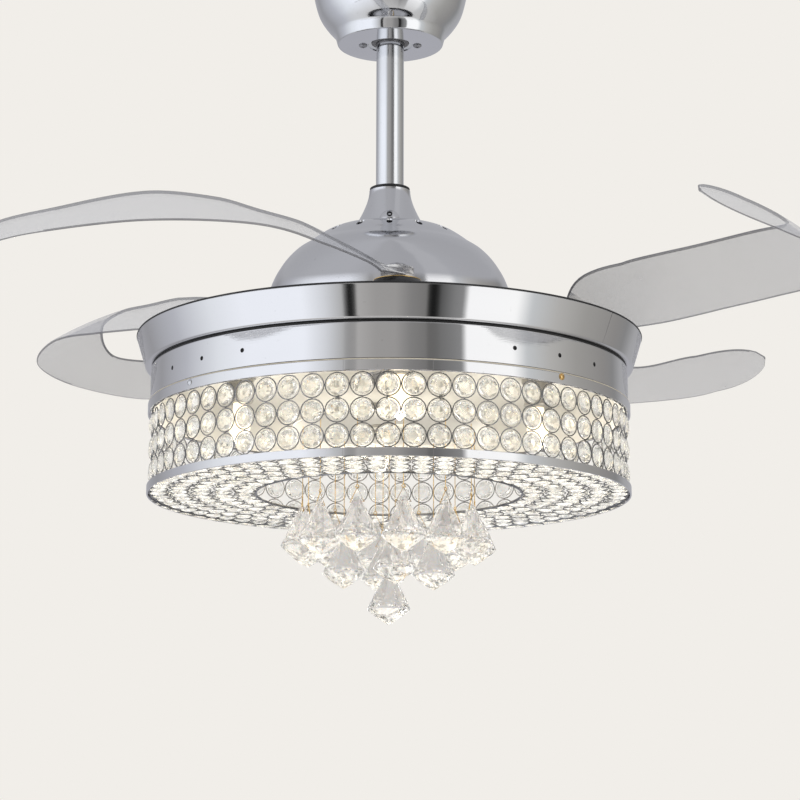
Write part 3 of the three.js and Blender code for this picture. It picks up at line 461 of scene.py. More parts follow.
@dataclass(frozen=True)
class ClearPlastic(Finish):
    """Smoke tinted clear plastic of the blades, with faint flow lines, rubbed spots, painted glints, and
    whitened streaks that are partly streaks in the plastic and partly painted highlights on its crumpled
    surface.
    """

    colour: Colour = (0.5, 0.5, 0.525)
    cover: float = 0.3
    gloss: float = 0.08
    streaks_and_sheen: float = 0.0

    def paint(self, nodes: Nodes) -> None:
        """Fills the material's node tree.

        Args:
            nodes: Helper of that tree.
        """
        flow = nodes.noise(5, 3, stretch=(1.0, 1.0, 5.0))
        fine = nodes.noise(90, 3, offset=6.0)
        rub = nodes.ramp(nodes.noise(38, 4, offset=8.0), [(0.62, 0.0), (0.74, 1.0)])
        # painted glints: white specks in the colour, which also thicken the cover
        painted_glint = nodes.ramp(nodes.noise(700, 1, offset=3.0), [(0.74, 0.0), (0.78, 1.0)])
        # whitened streaks: partly streaks in the plastic, partly painted highlights on its crumpled surface
        streak_and_sheen = nodes.ramp(nodes.noise(55, 3, stretch=(1.0, 1.0, 5.0), offset=1.0),
                            [(0.44, 0.0), (0.6, 1.0)])
        lighter = tuple(min(1.0, 1.3 * part) for part in self.colour)
        tint = nodes.mix(flow, self.colour, lighter)
        colour = nodes.mix(painted_glint * 0.8 + streak_and_sheen * self.streaks_and_sheen, tint, WHITE)
        cover = self.cover - 0.04 + flow * 0.07 + rub * 0.04 + painted_glint * 0.25 + streak_and_sheen * self.streaks_and_sheen * 0.5
        roughness = self.gloss + fine * 0.05 + rub * 0.12
        normal = nodes.bump(nodes.noise(16, 2, offset=12.0), min(0.12 + self.streaks_and_sheen, 1.0), 0.002)
        nodes.surface(Base_Color=colour, Roughness=roughness, Alpha=cover, Normal=normal, IOR=1.49)


@dataclass(frozen=True)
class CutGlass(Finish):
    """Clear lead glass of the drops and beads, with painted rainbow glints in its colour and painted glints
    that glow.
    """

    colour: Colour = (0.985, 0.985, 0.97)
    index: float = 1.5
    body: float = 0.75
    glints: float = 0.62
    painted_sparkle: float = 0.0

    def paint(self, nodes: Nodes) -> None:
        """Fills the material's node tree.

        Args:
            nodes: Helper of that tree.
        """
        veil = nodes.noise(160, 3)
        roughness = nodes.ramp(veil, [(0.6, 0.0), (0.8, 0.05)])
        # painted rainbow glints: pastel specks in the base colour stand in for the light that the cut facets
        # split
        prism = nodes.ramp(nodes.noise(330, 1, offset=5.0), [
            (0.30, (0.62, 0.82, 1.0)), (0.38, WHITE), (0.44, (1.0, 0.82, 0.56)), (0.48, WHITE),
            (0.53, (0.84, 0.76, 1.0)), (0.58, WHITE), (0.64, (0.68, 1.0, 0.80)), (0.70, (1.0, 0.70, 0.76)),
        ])
        warm = tuple(part * shade for part, shade in zip(self.colour, (1.0, 0.985, 0.94)))
        colour = nodes.mix(self.glints, nodes.mix(veil, self.colour, warm), prism)
        cover = self.body + nodes.noise(60, 2, offset=9.0) * 0.1
        # painted glints: specks of the glass glow by themselves, as light that the facets catch from the
        # lamps
        light = [(0.44, (0, 0, 0)), (0.5, (1.0, 0.95, 0.82)), (0.6, (1.0, 1.0, 0.97))]
        painted_glint_glow = nodes.ramp(nodes.noise(170, 2, offset=15.0), light)
        nodes.surface(Base_Color=colour, Roughness=roughness, Alpha=cover, Transmission_Weight=1.0,
                      IOR=self.index, Emission_Color=painted_glint_glow, Emission_Strength=self.painted_sparkle)


@dataclass(frozen=True)
class LitGlass(Finish):
    """Warm glowing glass of the bulbs."""

    colour: Colour = (1.0, 0.9, 0.72)
    glow: float = 9.0

    def paint(self, nodes: Nodes) -> None:
        """Fills the material's node tree.

        Args:
            nodes: Helper of that tree.
        """
        uneven = nodes.noise(60, 2)
        hot = nodes.mix(uneven, self.colour, (1.0, 0.82, 0.55))
        nodes.surface(Base_Color=(0.3, 0.28, 0.24), Roughness=0.35 + uneven * 0.1, Emission_Color=hot,
                      Emission_Strength=self.glow)


CHROME = PlatedMetal("bright_chrome", gloss=0.05, smear=0.06, ripple=0.05)
ROD_CHROME = PlatedMetal("down_rod_chrome", gloss=0.13, ripple=0.06)
SPUN = SpunSteel("spun_steel")
TRIM = SpunSteel("trim_steel", lines=0.07, waves=0.2)
SATIN = SatinSteel("polished_dome_steel", colour=(0.74, 0.74, 0.76), gloss=0.02, spread=0.04)
ZINC = SatinSteel("zinc_plate", colour=(0.52, 0.52, 0.54), gloss=0.38)
CAST = SatinSteel("cast_aluminium_case", colour=(0.58, 0.58, 0.59), gloss=0.42)
RING_WIRE = Wire("bead_ring_wire", colour=(0.33, 0.33, 0.34))
GOLD_WIRE = Wire("gilt_wire", colour=(0.93, 0.66, 0.3), gloss=0.15)
RUBBER = MouldedBlack("black_rubber_finish")
BUSH = MouldedBlack("rod_bush_grey", colour=(0.16, 0.16, 0.17), gloss=0.4)
BAKELITE = MouldedBlack("black_holder_plastic", gloss=0.35)
ENAMEL = Enamel("white_enamel", colour=(0.46, 0.45, 0.42))
# cream colour of a thin line on the upper trim: a painted reflection
PAINTED_TRIM_REFLECTION = Enamel("cream_seal", colour=(0.72, 0.66, 0.54))
HOLDER = MouldedBlack("lamp_holder_plastic", colour=(0.26, 0.25, 0.23), gloss=0.35)
BLADE = ClearPlastic("clear_blade_plastic", colour=(0.455, 0.465, 0.505), cover=0.36)
# the root's whitened streaks are partly painted highlights
BLADE_ROOT = ClearPlastic("clear_blade_root", colour=(0.24, 0.24, 0.26), cover=0.45, gloss=0.03, streaks_and_sheen=0.8)
BLADE_EDGE = ClearPlastic("blade_edge_plastic", colour=(0.13, 0.13, 0.145), cover=0.8, gloss=0.06)
DROP_GLASS = CutGlass("drop_glass", colour=(0.93, 0.93, 0.95), body=0.84)
# darker glass on some crown facets: painted shade for the dark that refraction shows there
DROP_PAINTED_SHADE = CutGlass("drop_shade_glass", colour=(0.45, 0.43, 0.46), body=0.9)
# the foot of a drop is lighter and glows most: painted light that its facets catch
DROP_FOOT = CutGlass("drop_foot_glass", colour=(1.0, 0.985, 0.93), body=0.85, painted_sparkle=0.36)
# the wall and floor beads glow a little too: painted glints
BEAD_GLASS = CutGlass("bead_glass", colour=(0.985, 0.99, 0.945), index=1.48, body=0.8, glints=0.4,
                      painted_sparkle=0.1)
FLOOR_GLASS = CutGlass("floor_bead_glass", colour=(0.985, 0.985, 0.93), index=1.48, body=0.9, painted_sparkle=0.22)
BULB = LitGlass("lit_bulb_glass", glow=1.5)


# ---------------------------------------------------------------------------- shapes
def smooth(values: Sequence[float], place: float) -> float:
    """Catmull-Rom value of a list of numbers.

    Args:
        values: The numbers.
        place: Where to read them, counted along the list.

    Returns:
        The value there.
    """
    last = len(values) - 1
    i = min(math.floor(place), last - 1)
    f = place - i

    def at(k: int) -> float:
        """Number k, carried on in a straight line past the ends."""
        if k < 0:
            return 2 * values[0] - values[1]
        if k > last:
            return 2 * values[last] - values[last - 1]
        return values[k]

    a, b, c, d = at(i - 1), at(i), at(i + 1), at(i + 2)
    cubic = (3 * b - a - 3 * c + d) * f**3
    return 0.5 * (2 * b + (c - a) * f + (2 * a - 5 * b + 4 * c - d) * f * f + cubic)


def curve_through(points: Outline, steps: int = 8) -> Outline:
    """Smooth outline through the given points, with so many steps between two of them.

    Args:
        points: The given points.
        steps: How many steps lie between two of them.

    Returns:
        The outline.
    """
    count = steps * (len(points) - 1)
    places = [i / steps for i in range(count + 1)]
    return [tuple(smooth([point[k] for point in points], place) for k in (0, 1)) for place in places]


def rounded(points: Outline, radius: float, steps: int = 4) -> Outline:
    """Rounds the inner corners of an open outline.

    Args:
        points: The outline.
        radius: How far from a corner the rounding starts, at most half of each side.
        steps: Points in each rounding.

    Returns:
        The rounded outline.
    """
    result = [points[0]]
    for before, corner, after in zip(points, points[1:], points[2:]):
        c = Vector(corner)
        back, ahead = Vector(before) - c, Vector(after) - c
        reach = min(radius, back.length / 2, ahead.length / 2)
        start, end = c + back.normalized() * reach, c + ahead.normalized() * reach
        for i in range(steps + 1):
            t = i / steps
            result.append(tuple(start * (1 - t) ** 2 + c * 2 * t * (1 - t) + end * t * t))
    result.append(points[-1])
    return result


def sheet(outline: Outline, thickness: float) -> Outline:
    """Closed profile of a pressed cover.

    Args:
        outline: Its outer outline, walked with the inside on its left.
        thickness: Its wall.

    Returns:
        The outline followed by its inner copy.
    """
    points = [Vector(point) for point in outline]

    def left(start: Vector, end: Vector) -> Vector:
        """Unit vector to the left of a stretch."""
        along = (end - start).normalized()
        return Vector((-along.y, along.x))

    inner = []
    for i, point in enumerate(points):
        before = left(points[i - 1], point) if i > 0 else left(point, points[1])
        after = left(point, points[i + 1]) if i < len(points) - 1 else before
        miter = (before + after) / (1 + before.dot(after))
        inner.append(tuple(point + miter * thickness))
    return [*outline, *reversed(inner)]


def ring_angles(count: int, first: float = 0.0) -> list[float]:
    """Even angles round a circle, in radians, the first one given in degrees."""
    return [math.radians(first) + 2 * math.pi * i / count for i in range(count)]


def from_front(degrees: float) -> float:
    """Angle from +X, in radians, of one counted anticlockwise from the front (-Y)."""
    return math.radians(degrees - 90)


def polar(radius: float, angle: float) -> tuple[float, float]:
    """Point at a distance from the axis, at an angle in radians."""
    return radius * math.cos(angle), radius * math.sin(angle)


def spin(angle: float, axis: str = "Z") -> Matrix:
    """Turn about an axis, by an angle in radians."""
    return Matrix.Rotation(angle, 4, axis)


def shift(x: float = 0.0, y: float = 0.0, z: float = 0.0) -> Matrix:
    """Move along the axes."""
    return Matrix.Translation((x, y, z))


def placed(name: str, data: bpy.types.ID) -> bpy.types.Object:
    """New object of the scene that shows a mesh, a light or a camera."""
    made = bpy.data.objects.new(name, data)
    bpy.context.scene.collection.objects.link(made)
    return made


class Shape:
    """Points and faces of a mesh that is being made, in millimetres."""

    def __init__(self) -> None:
        """Starts empty."""
        self.points: list[Vector] = []
        self.faces: list[tuple[int, ...]] = []
        self.slots: list[int] = []

    def face(self, corners: Iterable[int], slot: int = 0) -> None:
        """Adds one face with its material slot."""
        self.faces.append(tuple(corners))
        self.slots.append(int(slot))

    def circle(self, radius: float, height: float, count: int, first: float = 0.0) -> list[int]:
        """Adds a ring of points about Z.

        Args:
            radius: Their distance from the axis.
            height: Their height.
            count: How many there are.
            first: Angle of the first, in degrees.

        Returns:
            Their numbers.
        """
        start = len(self.points)
        self.points += [Vector((*polar(radius, angle), height)) for angle in ring_angles(count, first)]
        return list(range(start, start + count))

    def add(self, other: Shape, place: Matrix | None = None, slot: int | None = None) -> Shape:
        """Adds another shape.

        Args:
            other: The other shape.
            place: Where it goes.
            slot: Material slot for all its faces, if it isn't to keep its own.

        Returns:
            This shape.
        """
        start = len(self.points)
        self.points += [place @ point if place is not None else point.copy() for point in other.points]
        for corners, own in zip(other.faces, other.slots):
            self.face((start + i for i in corners), own if slot is None else slot)
        return self

    def moved(self, place: Matrix) -> Shape:
        """Copy of the shape at another place."""
        return Shape().add(self, place)

    @classmethod
    def turned(cls, profile: Outline, sides: int = 128, closed: bool = True) -> Shape:
        """Turned shape about Z.

        Args:
            profile: List of (radius, height).
            sides: Faces round it.
            closed: Whether the profile's last point joins its first.

        Returns:
            The shape, with single points where the profile meets the axis.
        """
        made = cls()
        rings: list[list[int]] = []
        for radius, height in profile:
            if radius < ON_AXIS:
                rings.append([len(made.points)] * sides)
                made.points.append(Vector((0, 0, height)))
            else:
                rings.append(made.circle(radius, height, sides))
        pairs = list(zip(rings, rings[1:]))
        if closed and profile[0][0] > ON_AXIS:
            pairs.append((rings[-1], rings[0]))
        for low, high in pairs:
            for i in range(sides):
                k = (i + 1) % sides
                corners = list(dict.fromkeys((low[i], low[k], high[k], high[i])))
                if len(corners) > 2:
                    made.face(corners)
        return made

    @classmethod
    def pipe(cls, inner: float, outer: float, foot: float, top: float, sides: int) -> Shape:
        """Turned shape with a rectangular profile, and a rod where the inner radius is 0."""
        return cls.turned([(inner, foot), (outer, foot), (outer, top), (inner, top)], sides)

    @classmethod
    def tube(cls, path: Sequence[Vector], radius: float, sides: int = 8, closed: bool = False) -> Shape:
        """Round wire along a path.

        Args:
            path: Its middle line.
            radius: Its radius.
            sides: Faces round it.
            closed: Whether its ends meet.

        Returns:
            The shape, with flat ends if it is open.
        """
        made = cls()
        count = len(path)
        normal = Vector((0, 0, 1))
        for i, point in enumerate(path):
            ahead = path[(i + 1) % count] if closed or i < count - 1 else point
            behind = path[i - 1] if closed or i > 0 else point
            along = (ahead - behind).normalized()
            side = along.cross(normal)
            if side.length < 0.1:
                side = along.cross(Vector((1, 0, 0)))
            side.normalize()
            normal = side.cross(along).normalized()
            for angle in ring_angles(sides):
                made.points.append(point + (side * math.cos(angle) + normal * math.sin(angle)) * radius)
        for i in range(count if closed else count - 1):
            for j in range(sides):
                k, n = (j + 1) % sides, (i + 1) % count
                made.face((i * sides + j, i * sides + k, n * sides + k, n * sides + j))
        if not closed:
            made.face(reversed(range(sides)))
            made.face(range((count - 1) * sides, count * sides))
        return made

    @classmethod
    def hoop(cls, radius: float, wire: float, steps: int = 20, sides: int = 6) -> Shape:
        """Ring of round wire about Z.

        Args:
            radius: Radius of its middle line.
            wire: Radius of the wire.
            steps: Stretches round the ring.
            sides: Faces round the wire.

        Returns:
            The shape.
        """
        around = ring_angles(sides)
        return cls.turned([(radius + wire * math.cos(a), wire * math.sin(a)) for a in around], steps)

    @classmethod
    def prism(cls, outline: Outline, foot: float, top: float) -> Shape:
        """Flat shape with a plan outline, walked anticlockwise, between two heights.

        Args:
            outline: The plan.
            foot: Its lower height.
            top: Its upper height.

        Returns:
            The shape.
        """
        made = cls()
        count = len(outline)
        for height in (foot, top):
            made.points += [Vector((x, y, height)) for x, y in outline]
        made.face(reversed(range(count)))
        made.face(range(count, 2 * count))
        for i in range(count):
            k = (i + 1) % count
            made.face((i, k, count + k, count + i))
        return made

    def object(self, name: str, finishes: Sequence[Finish], crease: float = 32.0) -> bpy.types.Object:
        """Makes the Blender object, in metres under the ceiling.

        Args:
            name: Its name.
            finishes: Finish of each material slot.
            crease: Edges bent by more degrees than this stay sharp, and 0 shades every face flat.

        Returns:
            The object.
        """
        mesh = bpy.data.meshes.new(name)
        points = [(p.x * MM, p.y * MM, (p.z - CEILING) * MM) for p in self.points]
        mesh.from_pydata(points, [], self.faces)
        for finish in finishes:
            mesh.materials.append(finish.material())
        mesh.polygons.foreach_set("material_index", self.slots)
        shade(mesh, crease)
        return placed(name, mesh)


def shade(mesh: bpy.types.Mesh, crease: float) -> None:
    """Turns the faces outwards and shades them smooth between sharp edges.

    Args:
        mesh: The mesh.
        crease: Least bend of a sharp edge, in degrees, and 0 for flat faces.
    """
    work = bmesh.new()
    work.from_mesh(mesh)
    bmesh.ops.recalc_face_normals(work, faces=work.faces)
    limit = math.radians(crease)
    for edge in work.edges:
        edge.smooth = len(edge.link_faces) == 2 and edge.calc_face_angle(0.0) < limit
    for face in work.faces:
        face.smooth = crease > 0
    work.to_mesh(mesh)
    work.free()
    mesh.update()


class Fit(Enum):
    """How one shape is fitted to another."""

    CUT = "DIFFERENCE"
    JOIN = "UNION"


def fitted(body: bpy.types.Object, tools: Shape, how: Fit, crease: float = 32.0) -> bpy.types.Object:
    """Cuts or joins shapes to an object and keeps the result in its mesh.

    Args:
        body: The object.
        tools: What is taken away or added.
        how: Which of the two.
        crease: Edges bent by more degrees than this stay sharp.

    Returns:
        The same object.
    """
    tool = tools.object(f"{body.name}_tool", [])
    step = body.modifiers.new("fit", "BOOLEAN")
    step.operation, step.solver, step.object = how.value, "EXACT", tool
    graph = bpy.context.evaluated_depsgraph_get()
    made = bpy.data.meshes.new_from_object(body.evaluated_get(graph))
    body.modifiers.clear()
    body.data = made
    shade(made, crease)
    bpy.data.objects.remove(tool)
    return body


@dataclass
class Assembly:
    """A sub-assembly that makes its pieces and reports them."""

    body: str = Body.HOUSING.value

    def finish_piece(
        self,
        piece: bpy.types.Object,
        slot: Slot,
        replaces: Sequence[str] = (),
        body: str | None = None,
    ) -> bpy.types.Object:
        """Lets a piece ride on its body and stand for its nodes.

        Args:
            piece: The piece, in place.
            slot: The record's material slot; not used.
            replaces: Names of the nodes that it stands for.
            body: The body that it rides on, if it isn't the assembly's own.

        Returns:
            The piece.
        """
        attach(piece, body or self.body)
        if replaces:
            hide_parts(*replaces)
        LOG.info("%s rides on %s: %d faces", piece.name, body or self.body, len(piece.data.polygons))
        return piece

    def dress_node(self, name: str, finish: Finish) -> None:
        """Gives a finish to a node whose solid stays.

        Args:
            name: The node.
            finish: Its finish.
        """
        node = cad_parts[name]
        for place in node.material_slots:
            place.material = finish.material()
        LOG.info("%s keeps its shape with %s", name, finish.name)

    def build(self) -> None:
        """Makes and dresses every piece of the sub-assembly."""
        raise NotImplementedError


# ---------------------------------------------------------------------------- canopy and rod
@dataclass
class Canopy(Assembly):
    """Canopy on the ceiling with what hangs inside it."""

    face_height: float = 473.8
    face_radius: float = 54.2
    hole_radius: float = 23.0
    wall: float = 1.5
    bowl: Outline = field(default_factory=lambda: [
        (57.2, 10), (66.3, 20.2), (73.6, 32.2), (78.4, 49.2), (80, 62.8),
    ])
    screw_place: float = 28.0
    ball_radius: float = 24.0
    ball_height: float = 508.0
    ball_face: float = 16.0
    rod_bore: float = 14.45
    bush: Outline = field(default_factory=lambda: [
        (14.8, 475.6), (19.2, 475.6), (19.6, 476.4), (16.6, 479.4), (14.8, 479.4),
    ])
    drill_radius: float = 2.7
    recess_half: float = 0.5
    recess_reach: float = 2.2
    recess_turn: float = 25.0

    def shell(self) -> Outline:
        """Outer outline of the canopy, from its hole to the ceiling.

        Returns:
            The outline, from the hole outwards and up.
        """
        face = self.face_height
        bowl = [(radius, face + height) for radius, height in self.bowl]
        foot = rounded([(self.hole_radius, face), (self.face_radius, face),
                        (self.face_radius + 1.6, face + 6), bowl[0]], 1.6)
        return [*foot[:-1], *curve_through(bowl, 6), (bowl[-1][0], CEILING - GAP)]

    def screw(self, side: int) -> Shape:
        """Pan head screw under the canopy's face, before its recess is cut.

        Args:
            side: -1 or 1, the side of the rod that it is on.

        Returns:
            The shape.
        """
        top = self.face_height - GAP
        head = Shape.turned([(0, top - 2), (2.2, top - 1.9), (3.6, top - 1.3), (4.4, top - 0.4), (4.4, top),
                             (2.2, top), (2.2, top + 8.1), (0, top + 8.1)], 24)
        return head.moved(shift(side * self.screw_place))

    def recess(self) -> Shape:
        """Cross recesses of both screws, as a tool.

        Returns:
            The shape.
        """
        tool = Shape()
        top = self.face_height - 1.5
        thin, far = self.recess_half, self.recess_reach
        corner = [(thin, -far), (thin, -thin), (far, -thin)]
        cross = [(x * math.cos(a) - y * math.sin(a), x * math.sin(a) + y * math.cos(a))
                 for a in ring_angles(4) for x, y in corner]
        for side in (-1, 1):
            place = shift(side * self.screw_place) @ spin(math.radians(self.recess_turn * side))
            tool.add(Shape.prism(cross, top - 2, top), place)
        return tool

    def build(self) -> None:
        """Makes the canopy, its screws, the hanger ball and the bush on the rod."""
        shell = Shape.turned(sheet(self.shell(), self.wall), 160).object("canopy_shell", [CHROME])
        drills = Shape()
        for side in (-1, 1):
            drill = Shape.pipe(0, self.drill_radius, -3, 3, 20)
            drills.add(drill, shift(side * self.screw_place, 0, self.face_height + 0.8))
        self.finish_piece(fitted(shell, drills, Fit.CUT), Slot.CHROME, ["canopy"])
        for number, side in enumerate((-1, 1), 1):
            screw = fitted(self.screw(side).object(f"canopy_screw_{number}_head", [ZINC]), self.recess(),
                           Fit.CUT)
            self.finish_piece(screw, Slot.ZINC, [f"canopy_screw_{number}"])
        reach = math.acos(self.ball_face / self.ball_radius)
        half = self.ball_radius * math.sin(reach)
        arc = [-reach + 2 * reach * i / 24 for i in range(25)]
        profile = [(self.rod_bore, self.ball_height - half)]
        profile += [(x, self.ball_height + z) for x, z in (polar(self.ball_radius, a) for a in arc)]
        profile.append((self.rod_bore, self.ball_height + half))
        ball = Shape.turned(profile, 64).object("hanger_ball_smooth", [BAKELITE])
        self.finish_piece(ball, Slot.PLASTIC, ["hanger_ball"])
        bush = Shape.turned(self.bush, 64).object("rod_bush", [BUSH])
        self.finish_piece(bush, Slot.ZINC)
        self.dress_node("hanger_bracket", ZINC)
        self.dress_node("ball_pin", ZINC)


@dataclass
class DownRod(Assembly):
    """Down rod with the gasket at its foot."""

    radius: float = 14.15
    wall: float = 2.0
    foot: float = 282.3
    top: float = 529.89
    gasket_foot: float = 317.3
    gasket_height: float = 3.0
    gasket_radius: float = 20.4

    def build(self) -> None:
        """Makes the rod and the gasket."""
        inner = self.radius - self.wall
        profile = rounded([(inner, (self.foot + self.top) / 2), (inner, self.foot), (self.radius, self.foot),
                           (self.radius, self.top), (inner, self.top),
                           (inner, (self.foot + self.top) / 2 + 1)], 0.5)
        rod = Shape.turned(profile, 96).object("down_rod_tube", [ROD_CHROME])
        self.finish_piece(rod, Slot.CHROME, ["down_rod"])
        low, high, hole = self.gasket_foot, self.gasket_foot + self.gasket_height, self.radius + GAP
        middle = (hole + self.gasket_radius) / 2
        rim = rounded([(middle, low), (self.gasket_radius, low), (self.gasket_radius, high), (hole, high),
                       (hole, low), (middle - 0.1, low)], 1.0)
        gasket = Shape.turned(rim, 96).object("rod_gasket_ring", [RUBBER])
        self.finish_piece(gasket, Slot.RUBBER, ["rod_gasket"])


# ---------------------------------------------------------------------------- dome and collar
@dataclass
class Dome(Assembly):
    """Dome over the motor with its vent slots, and the collar on it."""

    top: float = 277.4
    outline: Outline = field(default_factory=lambda: [
        (48, 276.2), (58, 273.8), (67, 269.9), (76, 264), (86, 256.5), (96, 249.8), (105, 240.6),
        (112, 230.6), (118, 219.3), (122.5, 204.6), (124.6, 178),
    ])
    wall: float = 1.5
    hole_radius: float = 17.75
    vents: int = 15
    vent_place: float = 70.5
    vent_length: float = 12.6
    vent_width: float = 5.8
    collar_height: float = 39.6
    collar_foot: float = 36.3
    collar_waist: float = 21.0
    collar_neck: float = 20.9
    stud_radius: float = 10.4
    stud_lean: float = 66.0

    def vent(self, angle: float) -> Shape:
        """Short vent slot with round ends that points away from the axis, as a tool.

        Args:
            angle: Where it is, in radians.

        Returns:
            The shape.
        """
        half, r = (self.vent_length - self.vent_width) / 2, self.vent_width / 2
        ends = [math.pi * (i / 8 - 0.5) for i in range(9)]
        walk = [(self.vent_place + side * half + side * r * math.cos(t), side * r * math.sin(t))
                for side in (1, -1) for t in ends]
        return Shape.prism(walk, self.top - 40, self.top + 20).moved(spin(angle))

    def dome_shape(self) -> Shape:
        """Pressed dome with a soft shoulder and a flat seat for the collar.

        Returns:
            The shape.
        """
        side = curve_through(list(reversed(self.outline)), 6)
        outline = [*side, (self.collar_foot + 3, self.top), (self.hole_radius, self.top)]
        return Shape.turned(sheet(outline, self.wall), 176)

    def collar_shape(self) -> Shape:
        """Trumpet shaped collar, with a rolled foot.

        Returns:
            The shape.
        """
        foot = self.top + GAP
        a, b = Vector((self.collar_foot, foot)), Vector((self.collar_waist, foot + 0.64 * self.collar_height))
        c = Vector((self.collar_neck, self.top + self.collar_height))
        curve = [tuple(a * (1 - t) ** 2 + b * 2 * t * (1 - t) + c * t * t)
                 for t in (i / 28 for i in range(29))]
        return Shape.turned(sheet(curve, self.wall), 96)

    def stud_place(self) -> Matrix:
        """Middle of the stud's base, inside the collar's foot."""
        return shift(0, -self.collar_foot + 4, self.top + 0.6)

    def stud(self) -> Shape:
        """Round stud at the collar's front.

        Returns:
            The shape.
        """
        steps = 14
        arc = [polar(self.stud_radius, math.pi / 2 * i / steps) for i in range(steps)]
        cap = Shape.turned([(0, 0), *arc, (0, self.stud_radius)], 48)
        return cap.moved(self.stud_place())

    def build(self) -> None:
        """Makes the dome, the collar and the stud with its screw."""
        tools = Shape()
        for angle in ring_angles(self.vents, -90):
            tools.add(self.vent(angle))
        dome = self.dome_shape().object("dome_cover_pressed", [SATIN])
        self.finish_piece(fitted(dome, tools, Fit.CUT), Slot.STEEL, ["dome_cover"])
        collar = fitted(self.collar_shape().object("collar_cover_spun", [SATIN]), self.stud(), Fit.JOIN, 40)
        self.finish_piece(collar, Slot.STEEL, ["collar_cover"])
        screw = Shape.turned([(0, 0), (2.9, 0), (2.9, 1.4), (1.9, 1.9), (1.6, 0.7), (0, 0.6)], 24)
        out = (self.stud_place() @ spin(math.radians(self.stud_lean), "X")
               @ shift(0, 0, self.stud_radius - 0.9))
        self.finish_piece(screw.moved(out).object("collar_fixing_screw", [RUBBER]), Slot.ZINC)
        self.dress_node("yoke_shaft", ZINC)
        self.dress_node("yoke_bolt", ZINC)


